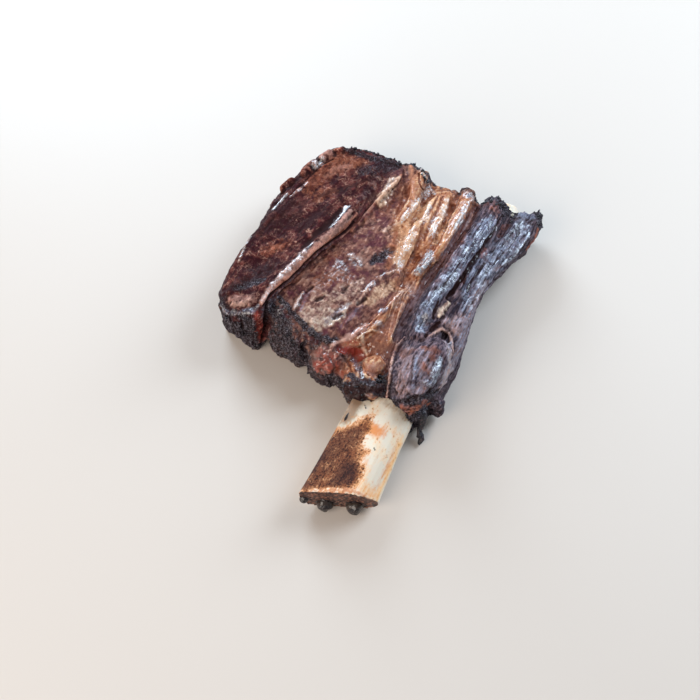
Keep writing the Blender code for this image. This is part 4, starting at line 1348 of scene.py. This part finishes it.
def makeBeads():  # droplets of fat, flat domes on the wet meat
    settings = loose["beads"]
    draws = np.random.default_rng(settings["seed"])
    bm = bmesh.new()
    seeds = seedsOn(settings)
    for place in seeds[draws.choice(len(seeds), settings["count"], replace=False)]:
        scale = Matrix.Diagonal((*draws.uniform(*loose["beadStretch"], 2), loose["beadHeight"], 1))
        radius = draws.uniform(*settings["radius"])
        turned = Matrix.Translation(place) @ scale
        bmesh.ops.create_uvsphere(bm, u_segments=8, v_segments=5, radius=radius, matrix=turned)
    return newObject("fat_beads", bm)


def atHeight(u, v, height):  # the place that a pixel shows at a height over the floor
    origin, way = photoRay(u, v)
    return origin + way * ((height - origin.z) / way.z)


def addThread(bm, places, radii):  # rings of a torn shred, joined into a closed tube
    last = None
    for k, (place, radius) in enumerate(zip(places, radii)):
        ahead = places[min(k + 1, len(places) - 1)] - places[max(k - 1, 0)]
        turned = Matrix.Translation(place) @ ahead.to_track_quat("Z", "Y").to_matrix().to_4x4()
        ends = k in (0, len(places) - 1)
        made = bmesh.ops.create_circle(bm, cap_ends=ends, segments=10, radius=radius, matrix=turned)
        ring = {edge for vert in made["verts"] for edge in vert.link_edges}
        if last:
            bmesh.ops.bridge_loops(bm, edges=list(last | ring))
        last = ring


def makeShreds():
    bm, settings = bmesh.new(), loose["shreds"]
    for line, heights, radii in threads.values():
        places = [atHeight(u, v, height * mm) for (u, v), height in zip(line, heights)]
        addThread(bm, places, [radius * mm for radius in radii])
    bmesh.ops.subdivide_edges(bm, edges=bm.edges, cuts=1, use_grid_fill=True)
    axes = {"use_axis_x": True, "use_axis_y": True, "use_axis_z": True}
    bmesh.ops.smooth_vert(bm, verts=bm.verts, factor=0.5, **axes)
    bm.normal_update()
    for vert in bm.verts:
        vert.co += vert.normal * noise.noise(vert.co / settings["size"]) * settings["height"]
        vert.co.z = max(vert.co.z, settings["lowest"])
    bmesh.ops.recalc_face_normals(bm, faces=bm.faces)
    return newObject("char_shreds", bm)


def charMaterial(name):
    material, start = newMaterial(name)
    place = start.node("ShaderNodeTexCoord", output="Object")
    tiny, small = grain(place, 0.5, 2), grain(place, 1.5, 3)
    colour = mix(between(tiny + 0.5 * small, 0.72, 0.96), meatLook["char"], meatLook["crumbPale"])
    shade(start, {
        "Base Color": mix(0.15 * between(small, 0.5, 0.7), colour, meatLook["rust"]),
        "Roughness": 0.25 + 0.4 * between(tiny, 0.4, 0.65),
        "Specular IOR Level": 0.4,
        "Normal": bumped(tiny, 0.5, 0.2),
    })
    return material


def beadMaterial(name):
    material, start = newMaterial(name)
    place = start.node("ShaderNodeTexCoord", output="Object")
    shade(start, {
        "Base Color": mix(between(grain(place, 2.0, 2), 0.4, 0.6), meatLook["amber"], meatLook["cream"]),
        "Roughness": 0.08,
        "Specular IOR Level": 0.5,
    })
    return material


burnt = charMaterial("burnt")
finishPiece(makeCrumbs(), burnt)
finishPiece(makeShreds(), burnt)
finishPiece(makeBeads(), beadMaterial("fat_beads"))
print("crumbs, shreds and beads laid")


# The studio

studio = {
    "floorSize": 3.0,
    "floorColour": (0.60, 0.53, 0.47, 1),
    "worldColour": (0.88, 0.93, 1.0, 1),
    "worldStrength": 0.30,
}
lamps = {  # place, size, power and colour
    "windowRight": ((0.45, 0.75, 0.60), (0.46, 0.80), 12.0, (0.72, 0.86, 1.0)),
    "windowLeft": ((-0.65, 0.55, 0.40), (0.50, 0.60), 11.5, (0.68, 0.84, 1.0)),
    "fill": ((-0.30, -0.78, 0.55), (0.7, 0.7), 8.0, (1.0, 0.90, 0.80)),
}


def lamp(name, place, size, power, colour):
    light = bpy.data.lights.new(name, "AREA")
    light.shape = "RECTANGLE"
    light.size, light.size_y = size
    light.energy, light.color = power, colour
    holder = bpy.data.objects.new(name, light)
    holder.location = place
    holder.rotation_euler = Vector(place).to_track_quat("Z", "Y").to_euler()
    bpy.context.scene.collection.objects.link(holder)


def makeFloor():
    bm = bmesh.new()
    bmesh.ops.create_grid(bm, x_segments=1, y_segments=1, size=studio["floorSize"] / 2)
    floor = newObject("floor", bm)
    material, start = newMaterial("floor")
    shade(start, {"Base Color": studio["floorColour"], "Roughness": 0.6})
    floor.data.materials.append(material)


def makeWorld():
    world = bpy.data.worlds.new("studio")
    world.use_nodes = True
    background = world.node_tree.nodes["Background"]
    background.inputs["Color"].default_value = studio["worldColour"]
    background.inputs["Strength"].default_value = studio["worldStrength"]
    bpy.context.scene.world = world
    bpy.context.scene.view_settings.view_transform = "Standard"


makeFloor()
makeWorld()
for name, settings in lamps.items():
    lamp(name, *settings)
print("studio set")
